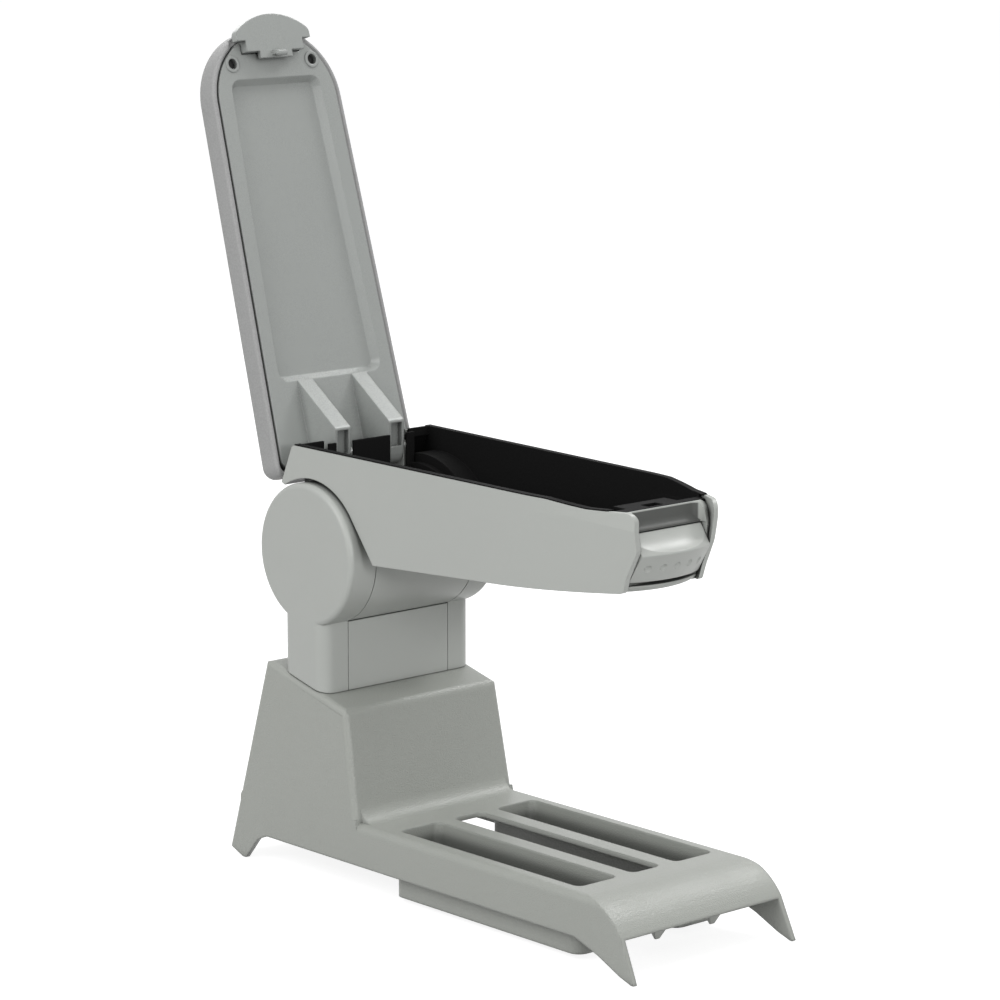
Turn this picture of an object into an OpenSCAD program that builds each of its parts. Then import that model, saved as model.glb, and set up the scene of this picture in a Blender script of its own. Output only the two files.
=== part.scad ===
// Centre armrest for a car: a slotted console base carries a short column with a tilting arm.
// The arm is a lined storage box with a padded, hinged lid.
// X points forward along the arm, Y to the left, Z up. The floor is Z = 0 at the leg tips
// and the tilt axis crosses X = 0. The lid is modelled open, as it rests.

/* [Column] */
// Width of the column across its side covers
column_w = 120; // [112:1:128]
// Distance of the column's front face ahead of the tilt axis
column_front = 17; // [15:0.5:20]
// Distance of the column's rear face behind the tilt axis
column_back = 23; // [21:0.5:26]
// Radius of the column's upright corners
column_corner_r = 9; // [5:0.5:11]
// Width of the front and rear panels, seam to seam
panel_w = 80.4; // [76:0.4:84]
// Wall of the moulded column covers
cover_wall = 2.5; // [2:0.1:3]
// Height of the column's foot at its front face
foot_z = 116; // [110:1:120]

/* [Drum] */
// Height of the tilt axis above the floor
pivot_z = 200; // [195:1:210]
// Radius of the drum covers and of the barrel between them
drum_r = 44; // [42:0.5:46]
// Rounding of the drum covers' outer edge
drum_edge_r = 3.5; // [1:0.5:5]

/* [Console] */
// Wall of the console moulding
console_wall = 3; // [2.5:0.1:3.5]
// Width of the pedestal at the foot of the column
pedestal_w = 122.4; // [121:0.4:126]
// Outward lean of the console's flanks in degrees
flank_draft = 2; // [1:0.25:3]
// Forward fall of the pedestal's top in degrees
top_slope = 14; // [12:0.5:15]
// Distance of the pedestal's rear top edge behind the tilt axis
pedestal_back = 38; // [34:0.5:42]
// Distance of the pedestal's front top edge ahead of the tilt axis
pedestal_front = 39; // [36:0.5:42]
// Backward lean of the pedestal's rear wall in degrees
rear_lean = 15; // [12:0.5:17]
// Forward lean of the pedestal's front wall in degrees
front_lean = 10.5; // [8:0.5:13]
// Rounding of the pedestal's edges
pedestal_edge_r = 4; // [2:0.5:5]
// Fillet where the pedestal's front meets the plate
foot_fillet_r = 11; // [6:1:16]
// Height of the plate's top face
plate_z = 43; // [41:0.5:46]
// Rounding of the plate's long edges
plate_edge_r = 5; // [3:0.5:6]
// Distance of the front lip ahead of the tilt axis
lip_x = 284; // [280:1:290]
// Height of the front lip's lower edge
lip_z = 25; // [23:0.5:28]
// Radius of the rolled front lip
lip_r = 41; // [38:1:44]
// Height of the flanks' lower edge between the legs
skirt_z = 17.5; // [15:0.5:19]

/* [Legs] */
// Distance of the front leg tips ahead of the tilt axis
front_tip_x = 295.5; // [292:0.5:299]
// Distance of the rear leg tips behind the tilt axis
rear_tip_x = 56; // [52:0.5:60]

/* [Slots] */
// Distance of the slots' rear end ahead of the tilt axis
slot_x0 = 80.5; // [78:0.5:84]
// Distance of the slots' front end ahead of the tilt axis
slot_x1 = 238.5; // [225:0.5:242]
// Distance of the outer pockets' outer edge from the middle
pocket_outer_y = 54; // [52:0.5:55]
// Width of each outer pocket
pocket_w = 31; // [28:0.5:32]
// Width of the open middle slot
slot_w = 23; // [18:0.5:25]
// Corner radius of the pockets and the slot
slot_corner_r = 5; // [3:0.5:7]
// Depth of the pockets below the plate's top face
pocket_depth = 37.5; // [30:0.5:38]
// Wall of the pockets
pocket_wall = 2.4; // [2:0.1:2.8]

/* [Front clips] */
// Distance of the clips from the middle
clip_y = 22; // [20:0.5:26]
// Width of each clip
clip_w = 11; // [8:0.5:13]
// Height of the clips' pointed ends above the floor
clip_z = 13; // [11:0.5:16]
// Radius of the rubber stop under the front lip
stop_r = 12; // [9:0.5:14]

/* [Arm box] */
// Half the width of the arm box at its rear end
arm_half_rear = 55.5; // [54:0.5:57]
// Half the width of the arm box where the nose begins
arm_half_front = 52; // [50:0.5:53]
// Distance of the side walls' front edge ahead of the tilt axis
nose_x = 260.5; // [256:0.5:265]
// Length of the nose, in which the sides curve inwards
nose_len = 78.5; // [74:0.5:84]
// Radius of the nose's sides in plan
nose_r = 170; // [160:2:190]
// Inward tuck of the nose's sides towards its underside in degrees
nose_tuck = 20; // [12:0.5:22]
// Height of the box rim at its rear end
rim_z = 265; // [262:0.5:268]
// Height of the rim at the nose
nose_rim_z = 259.5; // [257:0.5:261]
// Height of the box's underside at the drum
belly_z = 201.5; // [199:0.5:204]
// Height of the box's underside under the nose
nose_belly_z = 211; // [208:0.5:213]
// Wall of the arm moulding
arm_wall = 3; // [2.5:0.1:3.4]
// Gap between the arm and the drum covers
drum_gap = 2.5; // [2:0.1:3.5]
// Thickness of the black liner
liner_t = 1.5; // [1:0.1:2]

/* [Nose and release lever] */
// Radius of the lever's bowed face in plan
lever_bow_r = 70; // [66:1:76]
// Distance of the lever's ridge ahead of the side walls' front edge
lever_out = 5; // [4:0.5:6]
// Height of the lever's lower edge above the nose's underside
lever_rise = 6.5; // [6:0.25:8]
// Height of the lever's upper edge below the rim at the nose
lever_drop = 13.5; // [13:0.25:15]
// Height of the ridge above the lever's lower edge
ridge_rise = 16.7; // [15:0.1:18]
// Radius of the scoop in the lever's upper face
scoop_r = 20; // [16:1:30]
// Number of finger dimples on the lever
dimple_n = 5; // [4:1:6]
// Radius of the lever's hinge pin
lever_pin_r = 1.5; // [1:0.1:2]

/* [Lid] */
// Distance of the lid hinge behind the tilt axis
hinge_back = 17.6; // [16:0.2:19]
// Height of the lid hinge above the tilt axis
hinge_up = 52; // [51:0.2:53]
// Distance of the lid's inner face from the hinge axis
hinge_drop = 14.1; // [13.8:0.1:16]
// Backward lean of the open lid in degrees
lid_lean = 16.3; // [8:0.1:18]
// Distance of the closed lid's front end behind the side walls' front edge
lid_short = 5.1; // [4:0.1:7]
// Distance of the lid's rear end behind the hinge axis
lid_tail = 5.7; // [5:0.1:6.5]
// Half the width of the lid's padded cover at the hinge
lid_half_rear = 55.2; // [53:0.2:56]
// Half the width of the lid's padded cover where its end begins
lid_half_front = 50.4; // [48:0.2:52]
// Radius of the lid's round front corners
lid_nose_r = 46; // [42:1:46]
// Width of the cover's rim around the inner panel
rim_w = 4.2; // [3:0.1:5]
// Thickness of the whole lid
lid_t = 23; // [20:0.5:26]
// Thickness of the inner panel
panel_t = 7; // [6.6:0.2:8]
// Depth of the panel's recess
recess_depth = 5; // [2:0.5:5]
// Radius of the recess's corners
recess_r = 7; // [5:0.5:9]

/* [Lid hinge] */
// Distance of the hinge arms' inner faces from the middle
prong_y = 15.4; // [14.5:0.1:17]
// Width of each hinge arm
prong_w = 12; // [10:0.5:12]
// Radius of the lid's hinge pin
hinge_pin_r = 3; // [2.5:0.1:3.5]

/* [Latch] */
// Half the width of the latch lever
latch_half_w = 28.7; // [26:0.1:30]
// Distance of the latch lever's crown beyond the lid's front end
latch_over = 7.5; // [6.5:0.5:9]
// Length of the latch lever from its inner edge to its crown
latch_depth = 23; // [22:0.5:23.5]
// Radius of the latch lever's crown in plan
latch_bow_r = 43.7; // [40:0.5:48]
// Radius of the latch lever's corners
latch_corner_r = 5; // [3:0.5:7]
// Height of the latch lever's face above the lid's inner face
latch_rise = 6; // [5:0.2:6.2]
// Thickness of the latch lever
latch_t = 5; // [4:0.5:5.5]
// Half the width of the latch lever's foot between its hinge lugs
latch_foot_half = 22.3; // [18:0.1:22.4]
// Radius of the latch lever's pin
latch_pin_r = 1.25; // [1:0.05:1.5]

/* [Bracket and axle] */
// Thickness of the steel bracket
bracket_t = 3; // [2:0.5:4]
// Distance of the bracket's uprights from the middle
upright_y = 43.5; // [43:0.5:45]
// Radius of the tilt axle
axle_r = 6; // [5:0.5:7]
// Radius of the bracket bolts
bolt_r = 3; // [2.5:0.5:3.5]

/* [Fits] */
// Radial clearance of a turning pin in its bore
run_fit = 0.05; // [0.02:0.01:0.1]
// Gap between covers at a seam
seam_gap = 0.35; // [0.2:0.05:0.5]
// Gap between parts that move past each other
move_gap = 0.5; // [0.4:0.05:0.8]

/* [Hidden] */
$fn = 64;

plastic = [0.66, 0.67, 0.65];
plastic_base = [0.60, 0.61, 0.58];
plastic_lid = [0.58, 0.59, 0.58];
steel = [0.70, 0.71, 0.72];
black = [0.06, 0.06, 0.06];

column_half = column_w / 2;
seam_y = panel_w / 2;
pocket_x0 = -column_back + cover_wall + 1.5;
pocket_x1 = column_front - cover_wall - 1.5;
bracket_x0 = pocket_x0 + 2;
bracket_x1 = pocket_x1 - 2;
well_z = foot_z - 4;
well_half_y = column_half - cover_wall - 3.5;
barrel_half = seam_y - move_gap;
hub_r = axle_r + 7;
hub_half = upright_y - 1.8;
arm_clear_r = drum_r + drum_gap;
hinge = [-hinge_back, 0, pivot_z + hinge_up];
lid_dir = 90 + lid_lean;
nose_start_x = nose_x - nose_len;
bulkhead_x = nose_x - 15.5;
lever_x = nose_x + lever_out;
lever_z0 = nose_belly_z + lever_rise;
lever_z1 = nose_rim_z - lever_drop;
ridge_z = lever_z0 + ridge_rise;
lever_axis = [bulkhead_x + 5.6, lever_z1 - 5.5];
bow_x = lever_x - lever_bow_r;
lever_half_w = nose_half_at(nose_x - 1.1, ridge_z) - arm_wall - 0.7;
// How far the lever's sides spread for each millimetre towards its back
lever_flare = 0.08;
dimple_pitch = 2 * lever_half_w / (dimple_n + 0.25);
lid_len = nose_x + hinge_back - lid_short;
latch_len = lid_len + latch_over;
latch_root = latch_len - latch_depth;
latch_axis = [latch_root + 4, hinge_drop + panel_t / 2];
pocket_inner_y = pocket_outer_y - pocket_w;
stop_x = slot_x1 + 2 + stop_r;

// Unit vector that points to the left of the step from a to b
function side(a, b) = let (d = b - a) [-d.y, d.x] / norm(d);
function xy(p) = [p.x, p.y];

// Outline [x, y, radius] with every corner rounded to its radius in n steps
function corner(a, p, b, r, n) =
    let (u = (a - p) / norm(a - p), v = (b - p) / norm(b - p), h = acos(u * v) / 2)
    r <= 0 || h > 89.5 ? [p] :
    let (c = p + (u + v) / norm(u + v) * r / sin(h),
        s = p + u * r / tan(h) - c,
        e = p + v * r / tan(h) - c,
        a0 = atan2(s.y, s.x),
        d = ((atan2(e.y, e.x) - a0 + 540) % 360) - 180)
    [for (i = [0:n]) c + r * [cos(a0 + d * i / n), sin(a0 + d * i / n)]];
function rounded(p, n = 8) = let (m = len(p))
    [for (i = [0:m - 1])
        each corner(xy(p[(i + m - 1) % m]), xy(p[i]), xy(p[(i + 1) % m]), p[i].z, n)];

// The same outline moved inwards by t, for an outline that runs anticlockwise
function inset(p, t) = let (m = len(p))
    [for (i = [0:m - 1])
        let (a = xy(p[(i + m - 1) % m]), b = xy(p[i]), c = xy(p[(i + 1) % m]),
            n0 = side(a, b), n1 = side(b, c), q = b + t * (n0 + n1) / (1 + n0 * n1),
            left = (b - a).x * (c - b).y - (b - a).y * (c - b).x)
        [q.x, q.y, left > 0 ? max(p[i].z - t, 0) : (p[i].z > 0 ? p[i].z + t : 0)]];

// A side outline in X and Z, drawn out between two Y positions
module xz(y0, y1) translate([0, y1, 0]) rotate([90, 0, 0]) linear_extrude(y1 - y0) children();
// An end outline in Y and Z, drawn out between two X positions
module yz(x0, x1) translate([x0, 0, 0]) rotate([90, 0, 90]) linear_extrude(x1 - x0) children();
// A round bar along Y
module bar(x, z, r, y0, y1) translate([x, y1, z]) rotate([90, 0, 0]) cylinder(r = r, h = y1 - y0);
module both() {
    children();
    mirror([0, 1, 0]) children();
}
// Rounded rectangle from corner to corner
module slab(x0, x1, y0, y1, r) {
    translate([x0 + r, y0]) square([x1 - x0 - 2 * r, y1 - y0]);
    translate([x0, y0 + r]) square([x1 - x0, y1 - y0 - 2 * r]);
    for (x = [x0 + r, x1 - r], y = [y0 + r, y1 - r]) translate([x, y]) circle(r);
}
// What a corner of radius r loses, for a corner at the origin that points to +x +y
module corner_waste(r) difference() {
    translate([-r, -r]) square(r + 3);
    translate([-r, -r]) circle(r);
}

// Console: pedestal, plate and legs

function top_at(x) = foot_z - seam_gap - (x - column_front) * tan(top_slope);
function flank_at(z) = pedestal_w / 2 + (foot_z - z) * tan(flank_draft);
function rear_at(z) = -pedestal_back - (top_at(-pedestal_back) - z) * tan(rear_lean);
function front_at(z) = pedestal_front + (top_at(pedestal_front) - z) * tan(front_lean);
function pedestal_outline() = [[rear_at(-20), -20, 0], [front_at(-20), -20, 0],
    [pedestal_front, top_at(pedestal_front), 6], [-pedestal_back, top_at(-pedestal_back), 5]];
lip_turn = acos((lip_r - plate_z + lip_z) / lip_r);
lip_cx = lip_x - lip_r * sin(lip_turn);
function plate_outline(t) = concat(
    [[rear_at(0) + 12, -20], [lip_x + (lip_z + 20) * 0.46 + 40 * min(t, 1), -20],
        [lip_x + 40 * min(t, 1), lip_z]],
    [for (i = [0:10]) let (a = lip_turn * (10 - i) / 10)
        [lip_cx + (lip_r - t) * sin(a), plate_z - lip_r + (lip_r - t) * cos(a)]],
    [[rear_at(0) + 12, plate_z - t]]);

module flank_section(t, zc, r) {
    rr = max(r - t, 0.5);
    yc = flank_at(zc - r) - r / cos(flank_draft);
    tz = zc - r + rr * sin(flank_draft);
    ty = yc + rr * cos(flank_draft);
    polygon([[-flank_at(-20) + t, -20], [flank_at(-20) - t, -20], [ty, tz], [yc, zc - t],
        [-yc, zc - t], [-ty, tz]]);
    for (s = [-1, 1]) translate([s * yc, zc - r]) circle(rr);
}

module pedestal_block(t) intersection() {
    xz(-90, 90) polygon(rounded(t > 0 ? inset(pedestal_outline(), t) : pedestal_outline()));
    yz(-120, 120) polygon([[-flank_at(-25) + t, -25], [flank_at(-25) - t, -25],
        [flank_at(foot_z + 30) - t, foot_z + 30], [-flank_at(foot_z + 30) + t, foot_z + 30]]);
}

module plate_block(t) intersection() {
    xz(-90, 90) polygon(plate_outline(t));
    yz(rear_at(0), lip_x + 90) flank_section(t, plate_z, plate_edge_r);
}

// Lower edge of the flanks, from the rear leg to the front leg, and all below it
function underside() = [[-rear_tip_x + 1.5, -30, 0], [-rear_tip_x + 1.5, 0, 0],
    [-rear_tip_x + 13, skirt_z - 3.5, 5], [-rear_tip_x + 22, skirt_z, 6],
    [lip_x - 38, skirt_z, 8], [lip_x - 18, 11, 12], [lip_x, 3, 8],
    [front_tip_x - 2, 0, 0], [front_tip_x - 2, -30, 0]];

module foot_fillet() {
    x = front_at(plate_z);
    xz(-flank_at(plate_z) + plate_edge_r, flank_at(plate_z) - plate_edge_r)
        polygon(rounded([[x - 2, plate_z - 1.5, 0], [x + foot_fillet_r * 1.4, plate_z - 1.5, 0],
            [x + foot_fillet_r * 1.3, plate_z, 0], [x, plate_z, foot_fillet_r],
            [front_at(plate_z + foot_fillet_r * 1.3), plate_z + foot_fillet_r * 1.3, 0],
            [front_at(plate_z + foot_fillet_r * 1.3) - 2, plate_z + foot_fillet_r * 1.3, 0]], 10));
}

module pedestal_edge_waste() both() {
    zf = top_at(pedestal_front);
    translate([pedestal_front, flank_at(zf), zf]) rotate([flank_draft, -front_lean, 0])
        translate([0, 0, -(zf - plate_z - 2) / cos(front_lean)])
            linear_extrude((zf - plate_z + 20) / cos(front_lean)) corner_waste(pedestal_edge_r);
    zr = top_at(-pedestal_back);
    translate([-pedestal_back, flank_at(zr), zr]) rotate([flank_draft, rear_lean, 0])
        translate([0, 0, -zr - 20]) linear_extrude(zr + 40) mirror([1, 0])
            corner_waste(pedestal_edge_r);
    translate([-pedestal_back - 10, flank_at(foot_z + 4), top_at(-pedestal_back - 10)])
        rotate([0, top_slope, 0]) rotate([90, 0, 90])
            linear_extrude((pedestal_front + pedestal_back + 20) / cos(top_slope))
                corner_waste(pedestal_edge_r);
}

module pocket_shape(g) slab(slot_x0 - g, slot_x1 + g, pocket_inner_y - g, pocket_outer_y + g,
    slot_corner_r + g);

module front_clip() {
    x = lip_x - 15;
    zt = plate_z - lip_r + sqrt(pow(lip_r, 2) - pow(x + 3 - lip_cx, 2)) - 1;
    intersection() {
        yz(x, x + 3) polygon([[clip_y - clip_w / 2, zt], [clip_y - clip_w / 2, clip_z + 6.5],
            [clip_y - 1.5, clip_z], [clip_y + 1.5, clip_z],
            [clip_y + clip_w / 2, clip_z + 6.5], [clip_y + clip_w / 2, zt]]);
        xz(0, 60) polygon([[x, zt], [x, clip_z], [x + 1.2, clip_z], [x + 3, clip_z + 5],
            [x + 3, clip_z + 6.5], [x + 2, clip_z + 6.5], [x + 2, zt - 6], [x + 3, zt - 4],
            [x + 3, zt]]);
    }
}

module base_console() color(plastic_base) difference() {
    union() {
        difference() {
            union() {
                difference() {
                    pedestal_block(0);
                    pedestal_edge_waste();
                }
                plate_block(0);
                foot_fillet();
            }
            pedestal_block(console_wall);
            plate_block(console_wall);
            // Lower edges, leg tips and the rear wall's lower edge
            xz(-90, 90) polygon(rounded(underside()));
            xz(-90, 90) polygon([[-200, -40], [-rear_tip_x - 1.5, -40], [-rear_tip_x - 1.5, 0],
                [rear_at(5.5) - 1, 5.5], [-200, 5.5]]);
            translate([-120, -flank_at(skirt_z) + 10, -30])
                cube([100, 2 * flank_at(skirt_z) - 20, skirt_z + 30]);
            translate([-200, -100, -40]) cube([600, 200, 40]);
        }
        // Walls and floor of the well that the column stands in
        intersection() {
            pedestal_block(0.5);
            translate([pocket_x0 - console_wall, -well_half_y - console_wall,
                well_z - console_wall])
                cube([pocket_x1 - pocket_x0 + 2 * console_wall,
                    2 * (well_half_y + console_wall), 60]);
        }
        both() translate([0, 0, plate_z - pocket_depth - pocket_wall])
            linear_extrude(pocket_depth) pocket_shape(pocket_wall);
        both() front_clip();
    }
    translate([pocket_x0, -well_half_y, well_z])
        cube([pocket_x1 - pocket_x0, 2 * well_half_y, 80]);
    both() translate([0, 0, plate_z - pocket_depth]) linear_extrude(pocket_depth + 10)
        pocket_shape(0);
    translate([0, 0, plate_z - 20]) linear_extrude(30)
        slab(slot_x0, slot_x1, -slot_w / 2, slot_w / 2, slot_corner_r);
    for (p = bolt_places()) translate([p.x, p.y, well_z - 20])
        cylinder(r = bolt_r + 0.2, h = 40);
}

function bolt_places() = [for (x = [pocket_x0 + 8, pocket_x1 - 8],
    y = [17.5 - upright_y, upright_y - 17.5]) [x, y]];

// Column covers and drum covers

module column_plan(t) {
    r = column_corner_r - t;
    x0 = -column_back + t;
    x1 = column_front - t;
    y1 = column_half - t;
    translate([x0 + r, seam_y]) square([x1 - x0 - 2 * r, y1 - seam_y]);
    translate([x0, seam_y]) square([x1 - x0, y1 - r - seam_y]);
    for (x = [x0 + r, x1 - r]) translate([x, y1 - r]) circle(r);
}

module drum_cup(t) {
    r = drum_r - t;
    e = max(drum_edge_r - t, 0.4);
    h = column_half - t - seam_y;
    translate([0, seam_y, pivot_z]) rotate([-90, 0, 0]) rotate_extrude($fn = 96) {
        square([r - e, h]);
        square([r, h - e]);
        translate([r - e, h - e]) circle(e, $fn = 32);
    }
}

module above_pedestal(g) xz(-100, 100) polygon([[-80, top_at(-80) + g], [60, top_at(60) + g],
    [60, pivot_z + 80], [-80, pivot_z + 80]]);

module side_cover() difference() {
    intersection() {
        above_pedestal(seam_gap);
        union() {
            linear_extrude(pivot_z) column_plan(0);
            drum_cup(0);
        }
    }
    translate([0, -0.01, -1]) linear_extrude(pivot_z + 1) column_plan(cover_wall);
    translate([0, -0.01, 0]) drum_cup(cover_wall);
    // The arm's barrel turns between the covers
    bar(0, pivot_z, drum_r - cover_wall, 0, seam_y + 1);
}

module side_cover_left() color(plastic) side_cover();
module side_cover_right() color(plastic) mirror([0, 1, 0]) side_cover();

module column_panel(x0, x1) intersection() {
    above_pedestal(seam_gap);
    difference() {
        translate([x0, -seam_y + seam_gap, 0])
            cube([x1 - x0, 2 * (seam_y - seam_gap), pivot_z]);
        bar(0, pivot_z, drum_r + move_gap, -80, 80);
    }
}

module column_front_cover() color(plastic) union() {
    column_panel(column_front - cover_wall, column_front);
    // Tongues that slip behind the side covers
    both() translate([column_front - 2 * cover_wall - 0.2, seam_y - 8, foot_z + 8])
        cube([cover_wall, 14, 22]);
    both() translate([column_front - 2 * cover_wall - 0.2, seam_y - 8, foot_z + 8])
        cube([cover_wall + 0.3, 7, 22]);
}

module column_rear_cover() color(plastic) union() {
    column_panel(-column_back, -column_back + cover_wall);
    both() translate([-column_back + cover_wall + 0.2, seam_y - 8, foot_z + 18])
        cube([cover_wall, 14, 16]);
    both() translate([-column_back + cover_wall - 0.1, seam_y - 8, foot_z + 18])
        cube([cover_wall, 7, 16]);
}

// Steel bracket, axle and stop

module steel_bracket() color(steel) difference() {
    union() {
        translate([bracket_x0, -upright_y - bracket_t, well_z])
            cube([bracket_x1 - bracket_x0, 2 * (upright_y + bracket_t), bracket_t]);
        both() {
            translate([bracket_x0, upright_y, well_z])
                cube([bracket_x1 - bracket_x0, bracket_t, pivot_z - 12 - well_z]);
            bar(0, pivot_z, drum_r * 0.5, upright_y, upright_y + bracket_t);
        }
    }
    bar(0, pivot_z, axle_r + run_fit, -100, 100);
    both() bar(stop_at().x, stop_at().y, stop_pin_r + run_fit, upright_y - 5, upright_y + 10);
    for (p = bolt_places()) translate([p.x, p.y, well_z - 1])
        cylinder(r = bolt_r + 0.2, h = bracket_t + 2);
}

module bracket_bolts() color(steel) for (p = bolt_places()) translate([p.x, p.y, 0]) {
    translate([0, 0, well_z + bracket_t]) cylinder(r = bolt_r * 1.9, h = bolt_r * 1.3, $fn = 6);
    translate([0, 0, well_z - console_wall - 9])
        cylinder(r = bolt_r, h = bracket_t + console_wall + 9.5);
    translate([0, 0, well_z - console_wall - 5.2]) cylinder(r = bolt_r * 1.9, h = 5.2, $fn = 6);
}

module axle_bolt() color(steel) {
    bar(0, pivot_z, axle_r, -upright_y - bracket_t - 1, column_half - cover_wall - 1.5);
    translate([0, -upright_y - bracket_t, pivot_z]) rotate([90, 0, 0])
        cylinder(r = axle_r * 1.73, h = 6.5, $fn = 6);
}

module axle_nut() color(steel) difference() {
    translate([0, upright_y + bracket_t + 7.5, pivot_z]) rotate([90, 0, 0])
        cylinder(r = axle_r * 1.73, h = 7.5, $fn = 6);
    bar(0, pivot_z, axle_r + run_fit, 0, 100);
}

module friction_washers() color(steel) both() difference() {
    bar(0, pivot_z, hub_r, hub_half + 0.3, upright_y);
    bar(0, pivot_z, axle_r + run_fit, 0, 100);
}

// Stop pin: it rests against the end of a round slot in the barrel's end wall
stop_pin_r = 3;
stop_arc_r = drum_r * 0.42;
arm_travel = 90;
function stop_at() = [0, pivot_z - stop_arc_r];

module stop_pin() color(steel) both()
    bar(stop_at().x, stop_at().y, stop_pin_r, barrel_half - arm_wall + 0.6,
        upright_y + bracket_t + 2);

// Path of the stop pin in the turning barrel, with the arm's travel
module stop_slot() {
    w = stop_pin_r + 0.35;
    difference() {
        bar(0, pivot_z, stop_arc_r + w, -0.1 + barrel_half - arm_wall, barrel_half + 10);
        bar(0, pivot_z, stop_arc_r - w, -1 + barrel_half - arm_wall, barrel_half + 11);
        translate([0, 0, pivot_z]) xz(-1 + barrel_half - arm_wall, barrel_half + 11)
            polygon([[0, 0], [0, -90], [90, -90], [90, 90], [-90, 90], [-90, 0]]);
    }
    for (a = [0, arm_travel])
        bar(-stop_arc_r * sin(a), pivot_z - stop_arc_r * cos(a), w,
            -0.1 + barrel_half - arm_wall, barrel_half + 10);
}

module rubber_stop() color(black) difference() {
    intersection() {
        translate([stop_x, 0, clip_z + 2]) cylinder(r = stop_r, h = plate_z - clip_z - 2);
        plate_block(console_wall + 0.15);
    }
    translate([stop_x, 0, 0]) cylinder(r = stop_r * 0.35, h = clip_z + 8);
}

// Arm box

function arm_outline() = [[-27.3 + 0.42 * (hinge_back - 17.6), pivot_z + 41, 0],
    [heel.x, heel.y, 1.2], [nose_x - 10.8, nose_belly_z + 0.9, 3],
    [nose_x - 8, nose_belly_z + 10, 14], [nose_x - 0.3, nose_rim_z - 22.5, 10],
    [nose_x, nose_rim_z, 6], [nose_x - 28.5, nose_rim_z + 0.1, 30],
    [nose_x - 55.5, rim_z - 2.5, 30], [-17, rim_z, 3]];

// Lower rear corner of the box's sides
heel = [drum_r + 13, belly_z];

// The sides' rear end follows the drum cover and runs on straight to the heel: all behind that
// line, drawn out forward by g
function heel_cut(g) = let (c = [0, pivot_z], p = heel - c,
        a = atan2(p.y, p.x) + acos(arm_clear_r / norm(p)),
        n = [cos(a), sin(a)] * (arm_clear_r + g), d = [sin(a), -cos(a)] * 2 * norm(p))
    [c, c + n, c + n + d, c + d];

function arm_half_at(x) = arm_half_rear + (arm_half_front - arm_half_rear)
    * (x + 45) / (nose_start_x + 45);

module arm_plan(t, x0, x1) intersection() {
    translate([x0, -100]) square([x1 - x0, 200]);
    union() {
        polygon([[-60, -arm_half_at(-60) + t], [nose_start_x, -arm_half_front + t],
            [nose_start_x, arm_half_front - t], [-60, arm_half_at(-60) - t]]);
        intersection() {
            translate([nose_start_x - 0.01, -100]) square([200, 200]);
            translate([nose_start_x, nose_r - arm_half_front]) circle(nose_r - t, $fn = 180);
            translate([nose_start_x, arm_half_front - nose_r]) circle(nose_r - t, $fn = 180);
        }
    }
}

// The same outline drawn up, with the nose's sides tucked in towards the underside
module arm_sides(t, x0, x1) intersection() {
    translate([0, 0, 150]) linear_extrude(200) arm_plan(t, x0, x1);
    translate([nose_start_x, 0, rim_z]) rotate([0, nose_tuck, 0])
        translate([-nose_start_x, 0, -200]) linear_extrude(300) arm_plan(t - 0.3, -200, 400);
}

// Half the width of the tucked nose at a place in X and Z
function nose_half_at(x, z) = let (e = (x - nose_start_x) * cos(nose_tuck)
        + (rim_z - z) * sin(nose_tuck))
    arm_half_front + 0.3 - nose_r + sqrt(pow(nose_r, 2) - pow(e, 2));

// Space inside the box, drawn g inside the moulding's inner faces
module arm_cavity(g) difference() {
    intersection() {
        xz(-80, 80) polygon(concat(
            [for (p = rounded(inset([for (q = arm_outline()) q], arm_wall + g))) p]));
        arm_sides(arm_wall + g, -60, bulkhead_x - arm_wall - g);
    }
    both() bar(0, pivot_z, arm_clear_r + arm_wall + g, barrel_half - arm_wall - g, 90);
    both() xz(barrel_half - arm_wall - g, 90) polygon(heel_cut(arm_wall + g));
    bar(0, pivot_z, drum_r + g, -90, 90);
}
module arm_mouth(g) translate([0, 0, rim_z - 12]) linear_extrude(40)
    arm_plan(arm_wall + g, -17 + arm_wall + g, bulkhead_x - arm_wall - g);

// Well in the barrel's top that the lid's hinge arms swing down into
well_floor = pivot_z + drum_r * 0.77;
module prong_well(g) {
    x1 = sqrt(pow(drum_r, 2) - pow(well_floor - pivot_z, 2)) + 6;
    translate([-hinge_back - 6 + g, -prong_y - prong_w - 5.5 + g, well_floor + g])
        cube([x1 + hinge_back + 6 - 2 * g, 2 * (prong_y + prong_w + 5.5 - g), 60]);
}

module hinge_lug(y0, y1) xz(y0, y1) difference() {
    union() {
        translate([hinge.x, hinge.z]) circle(7);
        translate([hinge.x - 6, well_floor - 1])
            square([13, hinge.z - well_floor + 1]);
    }
    translate([hinge.x, hinge.z]) circle(hinge_pin_r + run_fit);
}

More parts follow.
